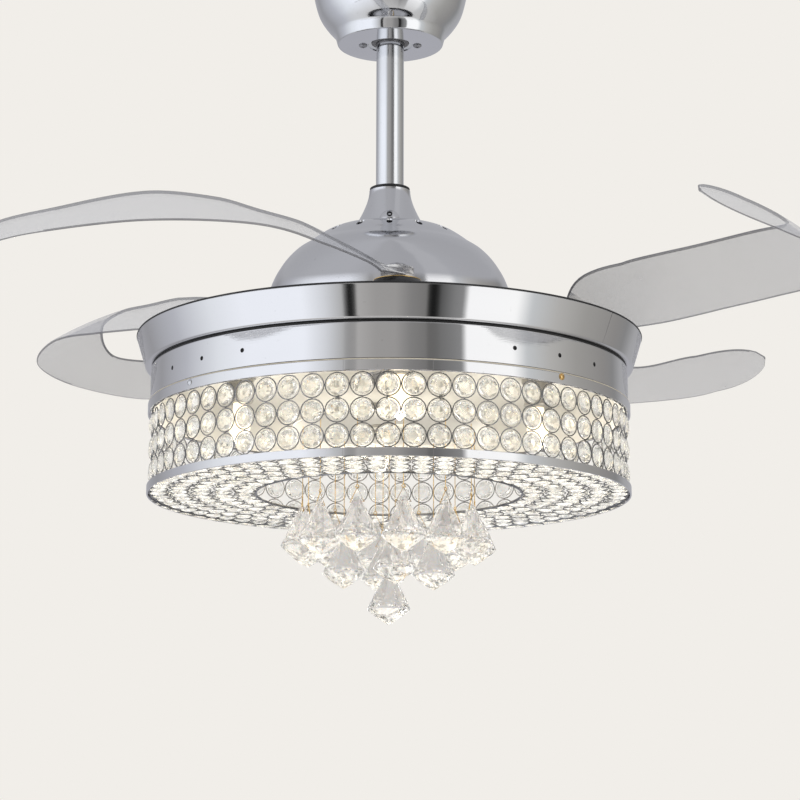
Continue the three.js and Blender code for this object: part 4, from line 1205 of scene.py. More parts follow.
# ---------------------------------------------------------------------------- drum metalwork
@dataclass
class DrumMetal(Assembly):
    """Tray, lamp body and the trims round the beads."""

    radius: float = 241.5
    body_radius: float = 239.3
    body_top: float = 126.0
    trim_foot: float = 80.0
    trim_top: float = 90.0
    tray_foot: float = 128.0
    tray_height: float = 31.0
    tray_foot_radius: float = 244.5
    tray_rim_radius: float = 253.8
    shaft_hole: float = 9.8
    spacer_hole: float = 9.8
    spacer_radius: float = 238.3
    hole_radius: float = 2.2
    hole_height: float = 107.5
    hole_angles: tuple[float, ...] = (29.4, 42.3, 55.2)
    joint_angles: tuple[float, ...] = (-9.8, 9.8)
    screw_angles: tuple[float, ...] = (-51.5, 42.3)
    seam_angles: tuple[float, ...] = (56.7, 57.8)
    seam_half: float = 0.3
    tray_wall: float = 1.2
    body_wall: float = 1.5
    joint_half: float = 0.4
    joint_depth: float = 0.7
    # black sheet behind the small holes, painted shade that makes them look dark:
    hole_shade_inset: float = 1.7
    hole_shade_skin: float = 0.8
    hole_shade_half: float = 6.0
    lining_inset: float = 1.1
    lining_drop: float = 1.55
    lip_wire: float = 1.1
    spacer_foot: float = 126.3
    spacer_top: float = 127.7
    lining_skin: float = 0.2
    lining_hole: float = 26.0
    lower_height: float = 8.0
    sides: int = 192

    def tray(self) -> Shape:
        """Flared tray with its lip turned in.

        Returns:
            The shape.
        """
        foot, rim = self.tray_foot, self.tray_foot + self.tray_height
        middle = self.tray_foot_radius + 0.52 * (self.tray_rim_radius - self.tray_foot_radius)
        flare = curve_through([(self.tray_foot_radius + 0.3, foot + 0.8),
                               (middle, foot + self.tray_height / 2), (self.tray_rim_radius, rim - 0.6)], 8)
        outline = rounded([(self.shaft_hole, foot), (self.tray_foot_radius - 2, foot), *flare,
                           (self.tray_rim_radius - 0.4, rim + 0.4),
                           (self.tray_rim_radius - 2.2, rim + 0.8)], 0.8, 2)
        return Shape.turned(sheet(outline, self.tray_wall), self.sides)

    def tray_seam(self) -> Shape:
        """Thin slanting groove where the tray's ends meet, as a tool.

        Returns:
            The shape.
        """
        made = Shape()
        foot, rim, half = self.tray_foot - 1, self.tray_foot + self.tray_height + 2, self.seam_half
        for height, radius, angle in ((foot, self.tray_foot_radius - 0.3, self.seam_angles[0]),
                                      (rim, self.tray_rim_radius + 0.2, self.seam_angles[1])):
            turn = spin(from_front(angle))
            made.points += [turn @ Vector((radius + out, side, height))
                            for out, side in ((-half, -half), (6, -half), (6, half), (-half, half))]
        for corners in ((3, 2, 1, 0), (4, 5, 6, 7), (0, 1, 5, 4), (1, 2, 6, 5), (2, 3, 7, 6), (3, 0, 4, 7)):
            made.face(corners)
        return made

    def lamp_body(self) -> Shape:
        """Lamp body, a pan that is open below.

        Returns:
            The shape.
        """
        rows = [self.trim_foot + (self.body_top - 2.4 - self.trim_foot) * i / 14 for i in range(15)]
        wall = [(self.body_radius, height) for height in rows]
        roof = [wall[-1], (self.body_radius, self.body_top), (self.shaft_hole, self.body_top)]
        outline = [*wall, *rounded(roof, 1.2)[1:]]
        return Shape.turned(sheet(outline, self.body_wall), self.sides)

    def band(self, inner: float, foot: float, top: float) -> Shape:
        """Flat trim band with softened edges between a radius and the drum's.

        Args:
            inner: Its inner radius.
            foot: Its lower height.
            top: Its upper height.

        Returns:
            The shape.
        """
        corner = 0.5
        low = rounded([(inner, foot), (self.radius, foot), (self.radius, foot + 2 * corner)], corner, 3)[1:-1]
        high = [(radius, foot + top - height) for radius, height in reversed(low)]
        wall = [(self.radius, height) for height in (foot + 1.1, foot + 1.5, top - 1.5, top - 1.1)]
        return Shape.turned([(inner, foot), *low, *wall, *high, (inner, top)], self.sides)

    def grooves(self, low: float, high: float) -> Shape:
        """Narrow cuts where a trim's ends meet, as a tool.

        Args:
            low: Their lower end.
            high: Their upper end.

        Returns:
            The shape.
        """
        tool = Shape()
        near, far, half = self.radius - self.joint_depth, self.radius + 2, self.joint_half
        box = Shape.prism([(near, -half), (far, -half), (far, half), (near, half)], low - 1, high + 1)
        for angle in self.joint_angles:
            tool.add(box, spin(from_front(angle)))
        return tool

    def holes(self) -> Shape:
        """Small holes round the lamp body, as a tool.

        Returns:
            The shape.
        """
        tool = Shape()
        drill = Shape.pipe(0, self.hole_radius, -6, 6, 18)
        lie = shift(self.body_radius, 0, self.hole_height) @ spin(math.pi / 2, "Y")
        for quarter in range(4):
            for angle in self.hole_angles:
                tool.add(drill, spin(from_front(angle + 90 * quarter)) @ lie)
        return tool

    def trim_screw(self, angle: float) -> Shape:
        """Domed screw head on the upper trim.

        Args:
            angle: Where it is, in degrees from the front.

        Returns:
            The shape.
        """
        head = Shape.turned([(0, 0), (3.3, 0), (3.3, 0.7), (2.8, 1.1), (2.3, 0.7), (2.1, 1.3), (0.9, 1.8),
                             (0.8, 1.1), (0, 1.1)], 28)
        lie = shift(self.radius - 0.1, 0, self.trim_top - 3.4) @ spin(math.pi / 2, "Y")
        return head.moved(spin(from_front(angle)) @ lie)

    def build(self) -> None:
        """Makes the metalwork round the drum."""
        tray = fitted(self.tray().object("tray_flared", [SPUN]), self.tray_seam(), Fit.CUT)
        self.finish_piece(tray, Slot.CHROME, ["tray_ring"])
        rim = self.tray_foot + self.tray_height
        lip = Shape.hoop(self.tray_rim_radius - 0.6, self.lip_wire, self.sides, 8)
        lip = lip.moved(shift(0, 0, rim + 0.4))
        self.finish_piece(lip.object("tray_lip_bead", [RUBBER]), Slot.RUBBER)
        body = fitted(self.lamp_body().object("lamp_body_pan", [SPUN]), self.holes(), Fit.CUT)
        self.finish_piece(body, Slot.STEEL, ["lamp_body"])
        # black ring that fills the gap between lamp body and tray almost out to the band's edge, so the gap
        # shows as a dark line
        gap = Shape.pipe(self.spacer_hole, self.spacer_radius, self.spacer_foot, self.spacer_top, self.sides)
        self.finish_piece(gap.object("spacer_foam", [RUBBER]), Slot.RUBBER, ["spacer_ring"])
        inside = self.body_radius - self.hole_shade_inset
        low, high = self.hole_height - self.hole_shade_half, self.hole_height + self.hole_shade_half
        # black sheet inside the wall behind the small holes: painted shade that makes them look dark
        hole_shade = Shape.pipe(inside - self.hole_shade_skin, inside, low, high, self.sides)
        self.finish_piece(hole_shade.object("body_hole_tape", [RUBBER]), Slot.RUBBER)
        lining, skin, hole = inside - self.lining_inset, self.lining_skin, self.lining_hole
        top = self.body_top - self.lining_drop
        roof = Shape.turned([(hole, top - skin), (lining, top - skin), (lining, self.trim_foot + 1),
                             (lining + skin, self.trim_foot + 1), (lining + skin, top), (hole, top)],
                            self.sides)
        self.finish_piece(roof.object("lamp_body_white_inside", [ENAMEL]), Slot.STEEL)
        upper_shape = self.band(self.body_radius + GAP, self.trim_foot, self.trim_top)
        joints = self.grooves(self.trim_foot, self.trim_top)
        upper = fitted(upper_shape.object("upper_trim_band", [TRIM]), joints, Fit.CUT)
        self.finish_piece(upper, Slot.CHROME, ["upper_trim"])
        # two thin hoops at the top of the upper trim: the cream one is a painted reflection, the dark one a
        # painted shadow line
        painted_lines = (("cream", 0.5, 240.9, 0.45, PAINTED_TRIM_REFLECTION), ("dark", 1.3, 239.7, 0.5, RUBBER))
        for name, height, radius, wire, finish in painted_lines:
            painted_hoop = Shape.hoop(radius, wire, self.sides, 8).moved(shift(0, 0, self.trim_top + height))
            self.finish_piece(painted_hoop.object(f"upper_trim_{name}_seal", [finish]), Slot.RUBBER)
        top = self.lower_height
        lower_shape = self.band(self.radius - 1.6, 0, top)
        lower_shape.add(Shape.pipe(self.radius - 11, self.radius - 1.5, 6.6, top, self.sides))
        lower = fitted(lower_shape.object("lower_trim_band", [TRIM]), self.grooves(0, top), Fit.CUT)
        self.finish_piece(lower, Slot.CHROME, ["lower_trim"])
        for number, (angle, finish) in enumerate(zip(self.screw_angles, (CHROME, GOLD_WIRE)), 1):
            screw = self.trim_screw(angle).object(f"trim_screw_{number}", [finish])
            self.finish_piece(screw, Slot.ZINC)
        self.dress_node("shaft_nut", ZINC)


# ---------------------------------------------------------------------------- beads
@dataclass
class BeadNets(Assembly):
    """Wall and floor of faceted beads, each in its own wire ring."""

    wall_radius: float = 236.9
    wall_columns: int = 63
    wall_rows: int = 3
    wall_foot: float = 8.3
    pitch: float = 23.8
    bead_radius: float = 9.5
    bead_depth: float = 3.1
    ring_wire: float = 0.6
    floor_height: float = 3.6
    floor_rows: tuple[float, ...] = (144.6, 166.2, 187.8, 209.4, 229.8)
    opening_radius: float = 133.0
    rim_radius: float = 238.4
    floor_pitch: float = 21.6
    floor_ring: float = 21.2
    floor_wire: float = 0.5
    floor_size: Triple = (0.88, 0.88, 0.7)
    opening_wire: float = 1.3
    rim_wire: float = 0.9
    tilt: float = 5.0

    def bead(self) -> Shape:
        """Round bead with a table, two rows of crown facets and a thin girdle, the same on both sides.

        Returns:
            The shape.
        """
        made = Shape()
        r, deep = self.bead_radius, self.bead_depth
        rows = [(0.40 * r, deep, 8, 0.0), (0.74 * r, 0.66 * deep, 8, 22.5), (r, 0.10 * deep, 16, 11.25)]
        rings = [made.circle(radius, side * height, count, first)
                 for side in (1, -1) for radius, height, count, first in rows]
        for base in (0, 3):
            table, crown, girdle = rings[base : base + 3]
            made.face(table)
            for i in range(8):
                k = (i + 1) % 8
                made.face((table[i], crown[i], table[k]))
                made.face((crown[i], crown[k], table[k]))
                made.face((crown[i], girdle[2 * i], girdle[2 * i + 1]))
                made.face((crown[i], girdle[2 * i + 1], crown[k]))
                made.face((crown[k], girdle[2 * i + 1], girdle[(2 * i + 2) % 16]))
        top, low = rings[2], rings[5]
        for i in range(16):
            k = (i + 1) % 16
            made.face((top[i], top[k], low[k], low[i]))
        return made

    def places(self) -> dict[str, list[Matrix]]:
        """Where the beads of the wall and of the floor sit, each with its face along Z.

        Returns:
            The places, by the name of the net.
        """
        wall, floor = [], []
        for row in range(self.wall_rows):
            height = self.wall_foot + self.pitch * (row + 0.5)
            for angle in ring_angles(self.wall_columns, -90):
                wall.append(spin(angle) @ shift(self.wall_radius, 0, height) @ spin(math.pi / 2, "Y"))
        for radius in self.floor_rows:
            count = round(2 * math.pi * radius / self.floor_pitch)
            for angle in ring_angles(count, -90 + 180 / count):
                floor.append(spin(angle) @ shift(radius, 0, self.floor_height))
        return {"wall": wall, "floor": floor}

    def build(self) -> None:
        """Makes the beads and the rings of both nets, and the wires round the floor's opening and rim."""
        rng = random.Random(SEED)
        bead = self.bead()
        ring = Shape.hoop(self.pitch / 2 - self.ring_wire, self.ring_wire)
        small = Shape.hoop(self.floor_ring / 2 - self.floor_wire, self.floor_wire, 18, 5)
        for name, places in self.places().items():
            beads, rings = Shape(), Shape()
            flat = name == "floor"
            for place in places:
                lean = spin(math.radians(rng.uniform(-self.tilt, self.tilt)), "X")
                lean @= spin(math.radians(rng.uniform(-self.tilt, self.tilt)), "Y")
                turn = spin(rng.uniform(0, math.tau))
                size = Matrix.Diagonal((*self.floor_size, 1)) if flat else Matrix.Identity(4)
                beads.add(bead, place @ lean @ turn @ size)
                rings.add(small if flat else ring, place)
            glass = beads.object(f"bead_{name}_glass", [FLOOR_GLASS if flat else BEAD_GLASS], 0)
            self.finish_piece(glass, Slot.CRYSTAL, [f"bead_{name}"])
            self.finish_piece(rings.object(f"bead_{name}_rings", [RING_WIRE]), Slot.CHROME, [f"bead_{name}"])
        wires = Shape()
        for radius, wire in ((self.opening_radius, self.opening_wire), (self.rim_radius, self.rim_wire)):
            wires.add(Shape.hoop(radius, wire, 160, 8), shift(0, 0, self.floor_height))
        self.finish_piece(wires.object("floor_rim_wires", [RING_WIRE]), Slot.CHROME)


# ---------------------------------------------------------------------------- lamps
@dataclass
class Lamps(Assembly):
    """Lamp holders and bulbs inside the drum."""

    count: int = 4
    place: float = 150.0
    turn: float = 4.0
    roof: float = 124.2
    holder_height: float = 30.0
    holder_radius: float = 14.0
    bulb_radius: float = 11.0
    bulb_height: float = 44.0
    power: float = 0.95
    tone: Colour = (1.0, 0.93, 0.82)
    flame_height: float = 44.0
    flame_size: float = 0.012

    def holder(self) -> Shape:
        """Moulded lamp holder with a skirt and a ribbed grip.

        Returns:
            The shape.
        """
        top, foot, r = self.roof, self.roof - self.holder_height, self.holder_radius
        grip = [(r - 0.5 * (i % 2), foot + 4 + 1.4 * i) for i in range(12)]
        return Shape.turned([(0, foot), (r - 2, foot), (r, foot + 2), *grip, (r, top - 6), (r + 2, top - 5),
                             (r + 2, top), (0, top)], 40)

    def bulb(self) -> Shape:
        """Candle shaped bulb.

        Returns:
            The shape.
        """
        top = self.roof - GAP - self.holder_height
        r, tall = self.bulb_radius, self.bulb_height
        side = curve_through([(0.6 * r, top), (0.66 * r, top - 0.2 * tall), (r, top - 0.5 * tall),
                              (0.62 * r, top - 0.85 * tall), (0, top - tall)], 6)
        side = [(max(radius, 0.0), height) for radius, height in side[:-1]] + [(0, top - tall)]
        return Shape.turned([(0, top), *side], 32)

    def build(self) -> None:
        """Makes the holders, the bulbs and the light that they give."""
        for number, angle in enumerate(ring_angles(self.count, self.turn - 90), 1):
            x, y = polar(self.place, angle)
            spot = shift(x, y)
            holder = self.holder().moved(spot).object(f"lamp_holder_{number}_moulded", [HOLDER])
            self.finish_piece(holder, Slot.PLASTIC, [f"lamp_holder_{number}"])
            bulb = self.bulb().moved(spot).object(f"lamp_bulb_{number}_candle", [BULB])
            self.finish_piece(bulb, Slot.LIT, [f"lamp_bulb_{number}"])
            light = bpy.data.lights.new(f"bulb_light_{number}", "POINT")
            light.energy, light.color, light.shadow_soft_size = self.power, self.tone, self.flame_size
            lamp = placed(light.name, light)
            lamp.location = (spot.translation.x * MM, spot.translation.y * MM,
                             (self.flame_height - CEILING) * MM)
            lamp.visible_camera = lamp.visible_glossy = lamp.visible_transmission = False


@dataclass(frozen=True)
class Tier:
    """One tier of hanging drops."""

    name: str
    count: int
    place: float
    top: float
    turn: float


@dataclass
class Drops(Assembly):
    """Hanging glass drops with their gilt wires and the plate that carries them."""

    tiers: tuple[Tier, ...] = (
        Tier("outer_drop", 12, 87.0, -12.0, 9.5),
        Tier("inner_drop", 4, 45.0, -38.0, 8.0),
        Tier("centre_drop", 1, 0.0, -73.0, 8.0),
    )
    radius: float = 21.4
    crown: float = 38.0
    height: float = 54.0
    table_radius: float = 2.8
    eye_depth: float = 5.0
    frame_height: float = 70.0
    frame_radius: float = 97.0
    frame_hole: float = 30.0
    frame_thickness: float = 1.5
    bail_half: float = 7.4
    bail_height: float = 14.0
    bail_wire: float = 0.62
    loop_radius: float = 1.6
    loop_height: float = 15.2
    loop_wire: float = 0.5
    wire_foot: float = 16.6
    hanging_wire: float = 0.42
    post_place: float = 62.0
    post_radius: float = 3.0
    roof: float = 124.2

    def drop(self) -> Shape:
        """Diamond cut drop with its top at zero: long crown facets over a shallow brilliant foot.

        Returns:
            The shape.
        """
        made = Shape()
        r = self.radius
        rows = [
            (self.table_radius, 0.0, 8, 0.0),
            (0.22 * r, -0.10 * self.crown, 8, 0.0),
            (0.86 * r, -0.80 * self.crown, 8, 22.5),
            (r, -self.crown, 16, 11.25),
            (0.97 * r, -self.crown - 1.6, 16, 11.25),
            (0.80 * r, -self.crown - 4.9, 16, 0.0),
            (0.50 * r, -self.crown - 9.9, 8, 22.5),
            (0.24 * r, -self.crown - 13.2, 8, 0.0),
        ]
        rings = [made.circle(*row) for row in rows]
        tip = len(made.points)
        made.points.append(Vector((0, 0, -self.height)))
        table, neck, waist, girdle, hem, belt, kite, foot = rings
        made.face(table)
        for i in range(8):
            k, j = (i + 1) % 8, 2 * i
            made.face((table[i], table[k], neck[k], neck[i]))
            # a few crown facets take the darker glass: painted shade
            made.face((neck[i], neck[k], waist[i]), DropFace.SHADE if i % 3 == 1 else DropFace.CLEAR)
            made.face((waist[i], neck[k], waist[k]), DropFace.SHADE if i % 4 == 2 else DropFace.CLEAR)
            made.face((waist[i], girdle[j], girdle[(j + 1) % 16]))
            made.face((waist[i], girdle[(j + 1) % 16], waist[k]))
            made.face((waist[k], girdle[(j + 1) % 16], girdle[(j + 2) % 16]))
            made.face((kite[i], belt[j + 1], belt[(j + 2) % 16]), DropFace.FOOT)
            made.face((kite[i], belt[(j + 2) % 16], kite[k]), DropFace.FOOT)
            made.face((kite[k], belt[(j + 2) % 16], belt[(j + 3) % 16]), DropFace.FOOT)
            made.face((kite[i], kite[k], foot[k]), DropFace.FOOT)
            made.face((kite[i], foot[k], foot[i]), DropFace.FOOT)
            made.face((foot[i], foot[k], tip), DropFace.FOOT)
        for i in range(16):
            k = (i + 1) % 16
            made.face((girdle[i], girdle[k], hem[k], hem[i]))
            made.face((hem[i], hem[k], belt[k]), DropFace.FOOT)
            made.face((hem[i], belt[k], belt[i]), DropFace.FOOT)
        return made

    def hanger(self, top: float) -> Shape:
        """Wire with a three-cornered bail for a drop at the axis, in the plane of X and Z.

        Args:
            top: Height of the drop's top.

        Returns:
            The shape.
        """
        eye = top - self.eye_depth
        half, r = self.bail_half, self.loop_radius
        corners = [Vector((-half, 0, eye)), Vector((half, 0, eye)), Vector((0, 0, eye + self.bail_height))]
        made = Shape.tube(corners, self.bail_wire, 8, closed=True)
        loop = [Vector((r * math.sin(a), 0, eye + self.loop_height + r * math.cos(a)))
                for a in ring_angles(12)]
        made.add(Shape.tube(loop, self.loop_wire, 6, closed=True))
        wire = [Vector((0, 0, eye + self.wire_foot)), Vector((0, 0, self.frame_height))]
        made.add(Shape.tube(wire, self.hanging_wire, 6))
        return made

    def places(self, tier: Tier) -> list[tuple[float, Vector]]:
        """Angle and place of each drop of a tier."""
        return [(angle, Vector((*polar(tier.place, angle), 0)))
                for angle in ring_angles(tier.count, tier.turn - 90)]

    def build(self) -> None:
        """Makes the drops, their wires and the plate."""
        drop, wires = self.drop(), Shape()
        for tier in self.tiers:
            for number, (angle, spot) in enumerate(self.places(tier), 1):
                node = f"{tier.name}_{number}" if tier.count > 1 else tier.name
                place = shift(spot.x, spot.y, tier.top) @ spin(angle)
                glass = drop.moved(place).object(f"{node}_glass", [DROP_GLASS, DROP_FOOT, DROP_PAINTED_SHADE], 0)
                self.finish_piece(glass, Slot.CRYSTAL, [node], node)
                wires.add(self.hanger(tier.top), shift(*spot) @ spin(angle + math.pi / 2))
        self.finish_piece(wires.object("drop_wires", [GOLD_WIRE]), Slot.GOLD, ["drop_frame"])
        foot, top = self.frame_height, self.frame_height + self.frame_thickness
        plate = Shape.pipe(self.frame_hole, self.frame_radius, foot, top, 96)
        half = self.frame_hole + 2
        plate.add(Shape.prism([(-half, -3), (half, -3), (half, 3), (-half, 3)], foot, top))
        for angle in ring_angles(3, 30):
            post = Shape.pipe(0, self.post_radius, top, self.roof, 20)
            plate.add(post, shift(*polar(self.post_place, angle)))
        self.finish_piece(plate.object("drop_plate", [ENAMEL]), Slot.CHROME, ["drop_frame"])


# ---------------------------------------------------------------------------- rotor and blades
@dataclass(frozen=True)
class Station:
    """One place along a folded blade."""

    wrap: float
    outside: float
    rise: float
    width: float
    pitch: float


@dataclass
class Rotor(Assembly):
    """Motor case, the carrier of the blades, and the folding blades."""

    body: str = Body.ROTOR.value
    turn: float = 2.4
    pivot_radius: float = 190.0
    carrier_foot: float = 160.0
    carrier_thickness: float = 4.0
    hub_radius: float = 100.0
    arm_width: float = 58.0
    eye_radius: float = 29.0
    case_radius: float = 88.0
    case_height: float = 84.0
    cup_foot: float = 164.3
    cup_height: float = 12.0
    cup_radius: float = 28.0
    cup_lip: float = 22.5
    cup_rim: float = 5.5
    boss_foot: float = 176.6
    boss_height: float = 12.0
    boss_radius: float = 16.0
    pin_radius: float = 5.0
    thickness: float = 3.0
    half_width: float = 41.1
    camber: float = 0.05
    lift: float = 8.0
    steps: int = 84
    root_steps: int = 5
    crowding: float = 0.06
    edge_softness: float = 2.4
    tip_taper: float = 0.995
    outer_rim: float = 0.93
    inner_rim: float = -0.985
    bore_radius: float = 5.4
    head_room: float = 9.5
    shaft_hole: float = 12.0
    window_place: float = 66.0
    window_radius: float = 13.0
    nut_radius: float = 8.5
    swings: tuple[float, ...] = (79.6, 70.9, 70.0, 78.8)
    stations: tuple[Station, ...] = (
        Station(0, 0, 0, 0.42, 20),
        Station(10, -27, 11, 0.8, 33),
        Station(25, -27, 16, 0.93, 32),
        Station(43, -21, 19.5, 1, 29),
        Station(62, 2, 22.5, 1, 28),
        Station(84, 32, 18.5, 0.85, 33),
        Station(107, 51, 9.5, 0.51, 39),
        Station(129, 52, 11.5, 0.46, 43),
        Station(148, 66.9, 16.5, 0.03, 45),
    )

    def centre(self, place: float) -> Vector:
        """Centre line of the folded blade from its pivot, seen from above.

        Args:
            place: Where along the stations it lies.

        Returns:
            The point.
        """
        radii = [self.pivot_radius + station.outside for station in self.stations]
        angles = [math.radians(-station.wrap) for station in self.stations]
        points = [polar(r, a) for r, a in zip(radii, angles)]
        x, y = (smooth([point[k] for point in points], place) for k in (0, 1))
        return Vector((x - self.pivot_radius, y))

    def section(self, place: float) -> list[tuple[Vector, float]]:
        """Points round one section of the blade.

        Args:
            place: Where along the stations it lies.

        Returns:
            Each point with its place across the blade, from -1 to 1.
        """
        last = len(self.stations) - 1
        heading = (self.centre(min(place + 0.01, last)) - self.centre(max(place - 0.01, 0))).normalized()
        past = max(place - last + 1, 0.0)
        share = smooth([s.width for s in self.stations], place)
        if past > 0:
            share = self.stations[last - 1].width * math.sqrt(1 - self.tip_taper * past * past)
        pitch = math.radians(smooth([s.pitch for s in self.stations], place))
        middle = Vector((*self.centre(place), smooth([s.rise for s in self.stations], place) + self.lift))
        inwards, up = Vector((heading.y, -heading.x, 0)), Vector((0, 0, 1))
        across = inwards * math.cos(pitch) + up * math.sin(pitch)
        normal = up * math.cos(pitch) - inwards * math.sin(pitch)
        reach = share * self.half_width / math.cos(pitch)
        soft = min(self.edge_softness / max(reach, self.edge_softness), 0.9)
        inner = [-1 + soft * (1 - math.cos(math.pi / 2 * i / 4)) for i in range(5)]
        sides = (inner + [(-1 + soft) * (1 - 2 * i / 12) for i in range(1, 12)]
                 + [-value for value in reversed(inner)])
        points = []
        for face, order in ((1, sides), (-1, sides[-2:0:-1])):
            for side in order:
                gone = max(abs(side) - (1 - soft), 0) / soft
                thick = math.sqrt(max(1 - gone * gone, 0.0)) * self.thickness / 2
                crown = self.camber * reach * (1 - side * side)
                points.append((middle + across * side * reach + normal * (crown + face * thick), side))
        return points

    def leaf(self) -> Shape:
        """Pitched crescent leaf, lofted through its sections.

        Returns:
            The shape.
        """
        made = Shape()
        last = len(self.stations) - 1
        rings: list[list[tuple[int, float]]] = []
        for i in range(self.steps + 1):
            share = i / self.steps
            place = min(last * (share + self.crowding * math.sin(math.pi * share)), last)
            ring = []
            for point, side in self.section(place):
                ring.append((len(made.points), side))
                made.points.append(point)
            rings.append(ring)
        count = len(rings[0])
        for number, (low, high) in enumerate(zip(rings, rings[1:])):
            inner = BladeFace.ROOT if number < self.root_steps else BladeFace.LEAF
            for j in range(count):
                k = (j + 1) % count
                side = (low[j][1] + low[k][1]) / 2
                edge = side > self.outer_rim or side < self.inner_rim
                made.face((low[j][0], low[k][0], high[k][0], high[j][0]), BladeFace.RIM if edge else inner)
        made.face((i for i, _ in rings[0]), BladeFace.RIM)
        made.face((i for i, _ in reversed(rings[-1])), BladeFace.RIM)
        return made

    def blade(self) -> bpy.types.Object:
        """Blade with its boss, its pivot at the origin, kept as a pattern for the four.

        Returns:
            The pattern.
        """
        high, r = self.boss_height, self.boss_radius
        pattern = self.leaf().object("blade_pattern", [BLADE, BLADE_EDGE, BLADE_ROOT], 50)
        boss = Shape.turned([(0, 0), *rounded([(0.01, 0), (r, 0), (r, high), (0.01, high)], 1.6)[1:-1],
                             (0, high)], 48)
        fitted(pattern, Shape().add(boss, slot=BladeFace.ROOT), Fit.JOIN, 50)
        below = Shape.pipe(0, 2 * r, -40, 0, 24)
        bore = Shape.pipe(0, self.bore_radius, -2, 14, 32)
        room = Shape.pipe(0, self.head_room, high, high + 60, 32)
        for tool in (below, bore, room):
            fitted(pattern, tool, Fit.CUT, 50)
        return pattern

    def carrier(self) -> Shape:
        """Plate of the carrier: a hub with an arm for each pivot.

        Returns:
            The shape.
        """
        outline: Outline = []
        spread = math.asin(self.arm_width / 2 / self.hub_radius)
        for i in range(4):
            angle = math.pi / 2 * i
            x, y = polar(self.pivot_radius, angle)
            outline += [(x + self.eye_radius * math.cos(angle + t), y + self.eye_radius * math.sin(angle + t))
                        for t in (-1.3 + 2.6 * k / 20 for k in range(21))]
            start, end = angle + spread, angle + math.pi / 2 - spread
            outline += [polar(self.hub_radius, start + (end - start) * k / 16) for k in range(17)]
        return Shape.prism(outline, self.carrier_foot, self.carrier_foot + self.carrier_thickness)

    def carrier_holes(self) -> Shape:
        """Shaft hole, pin holes and lightening holes, as a tool.

        Returns:
            The shape.
        """
        tool = Shape()
        low, high = self.carrier_foot - 2, self.carrier_foot + self.carrier_thickness + 2
        wanted = [(0.0, 0.0, self.shaft_hole)]
        for angle in ring_angles(4):
            wanted.append((*polar(self.pivot_radius, angle), self.pin_radius + GAP))
            wanted.append((*polar(self.window_place, angle + math.pi / 4), self.window_radius))
        for x, y, radius in wanted:
            tool.add(Shape.pipe(0, radius, low, high, 32), shift(x, y))
        return tool

    def pin(self) -> Shape:
        """Shoulder bolt of a blade, with its nut below.

        Returns:
            The shape.
        """
        seat, nut = self.boss_foot + self.boss_height + GAP, self.carrier_foot - GAP
        r, wide = self.pin_radius, self.nut_radius
        return Shape.turned([(0, nut - 4), (7.8, nut - 4), (wide, nut - 3.4), (wide, nut), (r, nut),
                             (r, seat), (wide, seat), (wide, seat + 1.8), (7.6, seat + 3), (3.0, seat + 3),
                             (2.6, seat + 1.6), (0, seat + 1.6)], 32)

    def cup(self) -> Shape:
        """Black cup of the return spring, with sloping sides.

        Returns:
            The shape.
        """
        foot, top, r = self.cup_foot, self.cup_foot + self.cup_height - 1.0, self.cup_radius
        bore = self.pin_radius + GAP
        outer = rounded([(r - 4, foot), (r, foot), (r, foot + self.cup_rim), (self.cup_lip + 0.3, top),
                         (self.cup_lip - 4, top)], 0.9, 3)
        return Shape.turned([(bore, foot), *outer, (bore, top)], 64)

    def washer(self) -> Shape:
        """Gilt washer on a cup, under the blade's boss.

        Returns:
            The shape.
        """
        top, r, bore = self.cup_foot + self.cup_height, self.cup_lip, self.pin_radius + GAP
        foot = top - 0.95
        outer = rounded([(r - 3, foot), (r + 0.2, foot), (r + 0.2, top), (r - 3, top)], 0.35, 2)
        return Shape.turned([(bore, foot), *outer, (bore, top)], 64)

    def build(self) -> None:
        """Makes the motor case, the carrier, the cups, the pins and the blades."""
        turn = spin(math.radians(self.turn))
        foot, r = self.carrier_foot + self.carrier_thickness + GAP, self.case_radius
        top = foot + self.case_height
        side = rounded([(r - 4, foot), (r, foot + 4), (r, top - 14), (r - 6, top - 7), (r - 22, top),
                        (20, top)], 3)
        case = Shape.turned([(10.3, foot), *side, (10.3, top)], 96)
        self.finish_piece(case.object("motor_case_turned", [CAST]), Slot.CAST, ["motor_case"])
        carrier = self.carrier().moved(turn).object("blade_carrier_plate", [ZINC])
        carrier = fitted(carrier, self.carrier_holes().moved(turn), Fit.CUT)
        self.finish_piece(carrier, Slot.ZINC, ["blade_carrier"])
        pattern = self.blade()
        leaf = pattern.data
        for number, swing in enumerate(self.swings, 1):
            out = spin(math.radians(self.turn - 90 * (number - 1))) @ shift(self.pivot_radius)
            cup = self.cup().moved(out).object(f"spring_cup_{number}_moulded", [BAKELITE])
            self.finish_piece(cup, Slot.PLASTIC, [f"spring_cup_{number}"])
            washer = self.washer().moved(out).object(f"cup_washer_{number}", [GOLD_WIRE])
            self.finish_piece(washer, Slot.GOLD, [f"spring_cup_{number}"])
            pin = self.pin().moved(out).object(f"blade_pin_{number}_bolt", [ZINC])
            self.finish_piece(pin, Slot.ZINC, [f"blade_pin_{number}"])
            place = out @ shift(0, 0, self.boss_foot) @ spin(math.radians(swing))
            mesh = leaf.copy()
            # The pattern already lies in metres under the ceiling, so it is lifted back before it is placed.
            lifted = shift(0, 0, CEILING * MM)
            metres = Matrix.Translation(place.translation * MM) @ place.to_3x3().to_4x4()
            mesh.transform(lifted.inverted() @ metres @ lifted)
            blade = placed(f"blade_{number}_leaf", mesh)
            self.finish_piece(blade, Slot.BLADE, [f"blade_{number}"], f"blade_{number}")
        bpy.data.objects.remove(pattern)


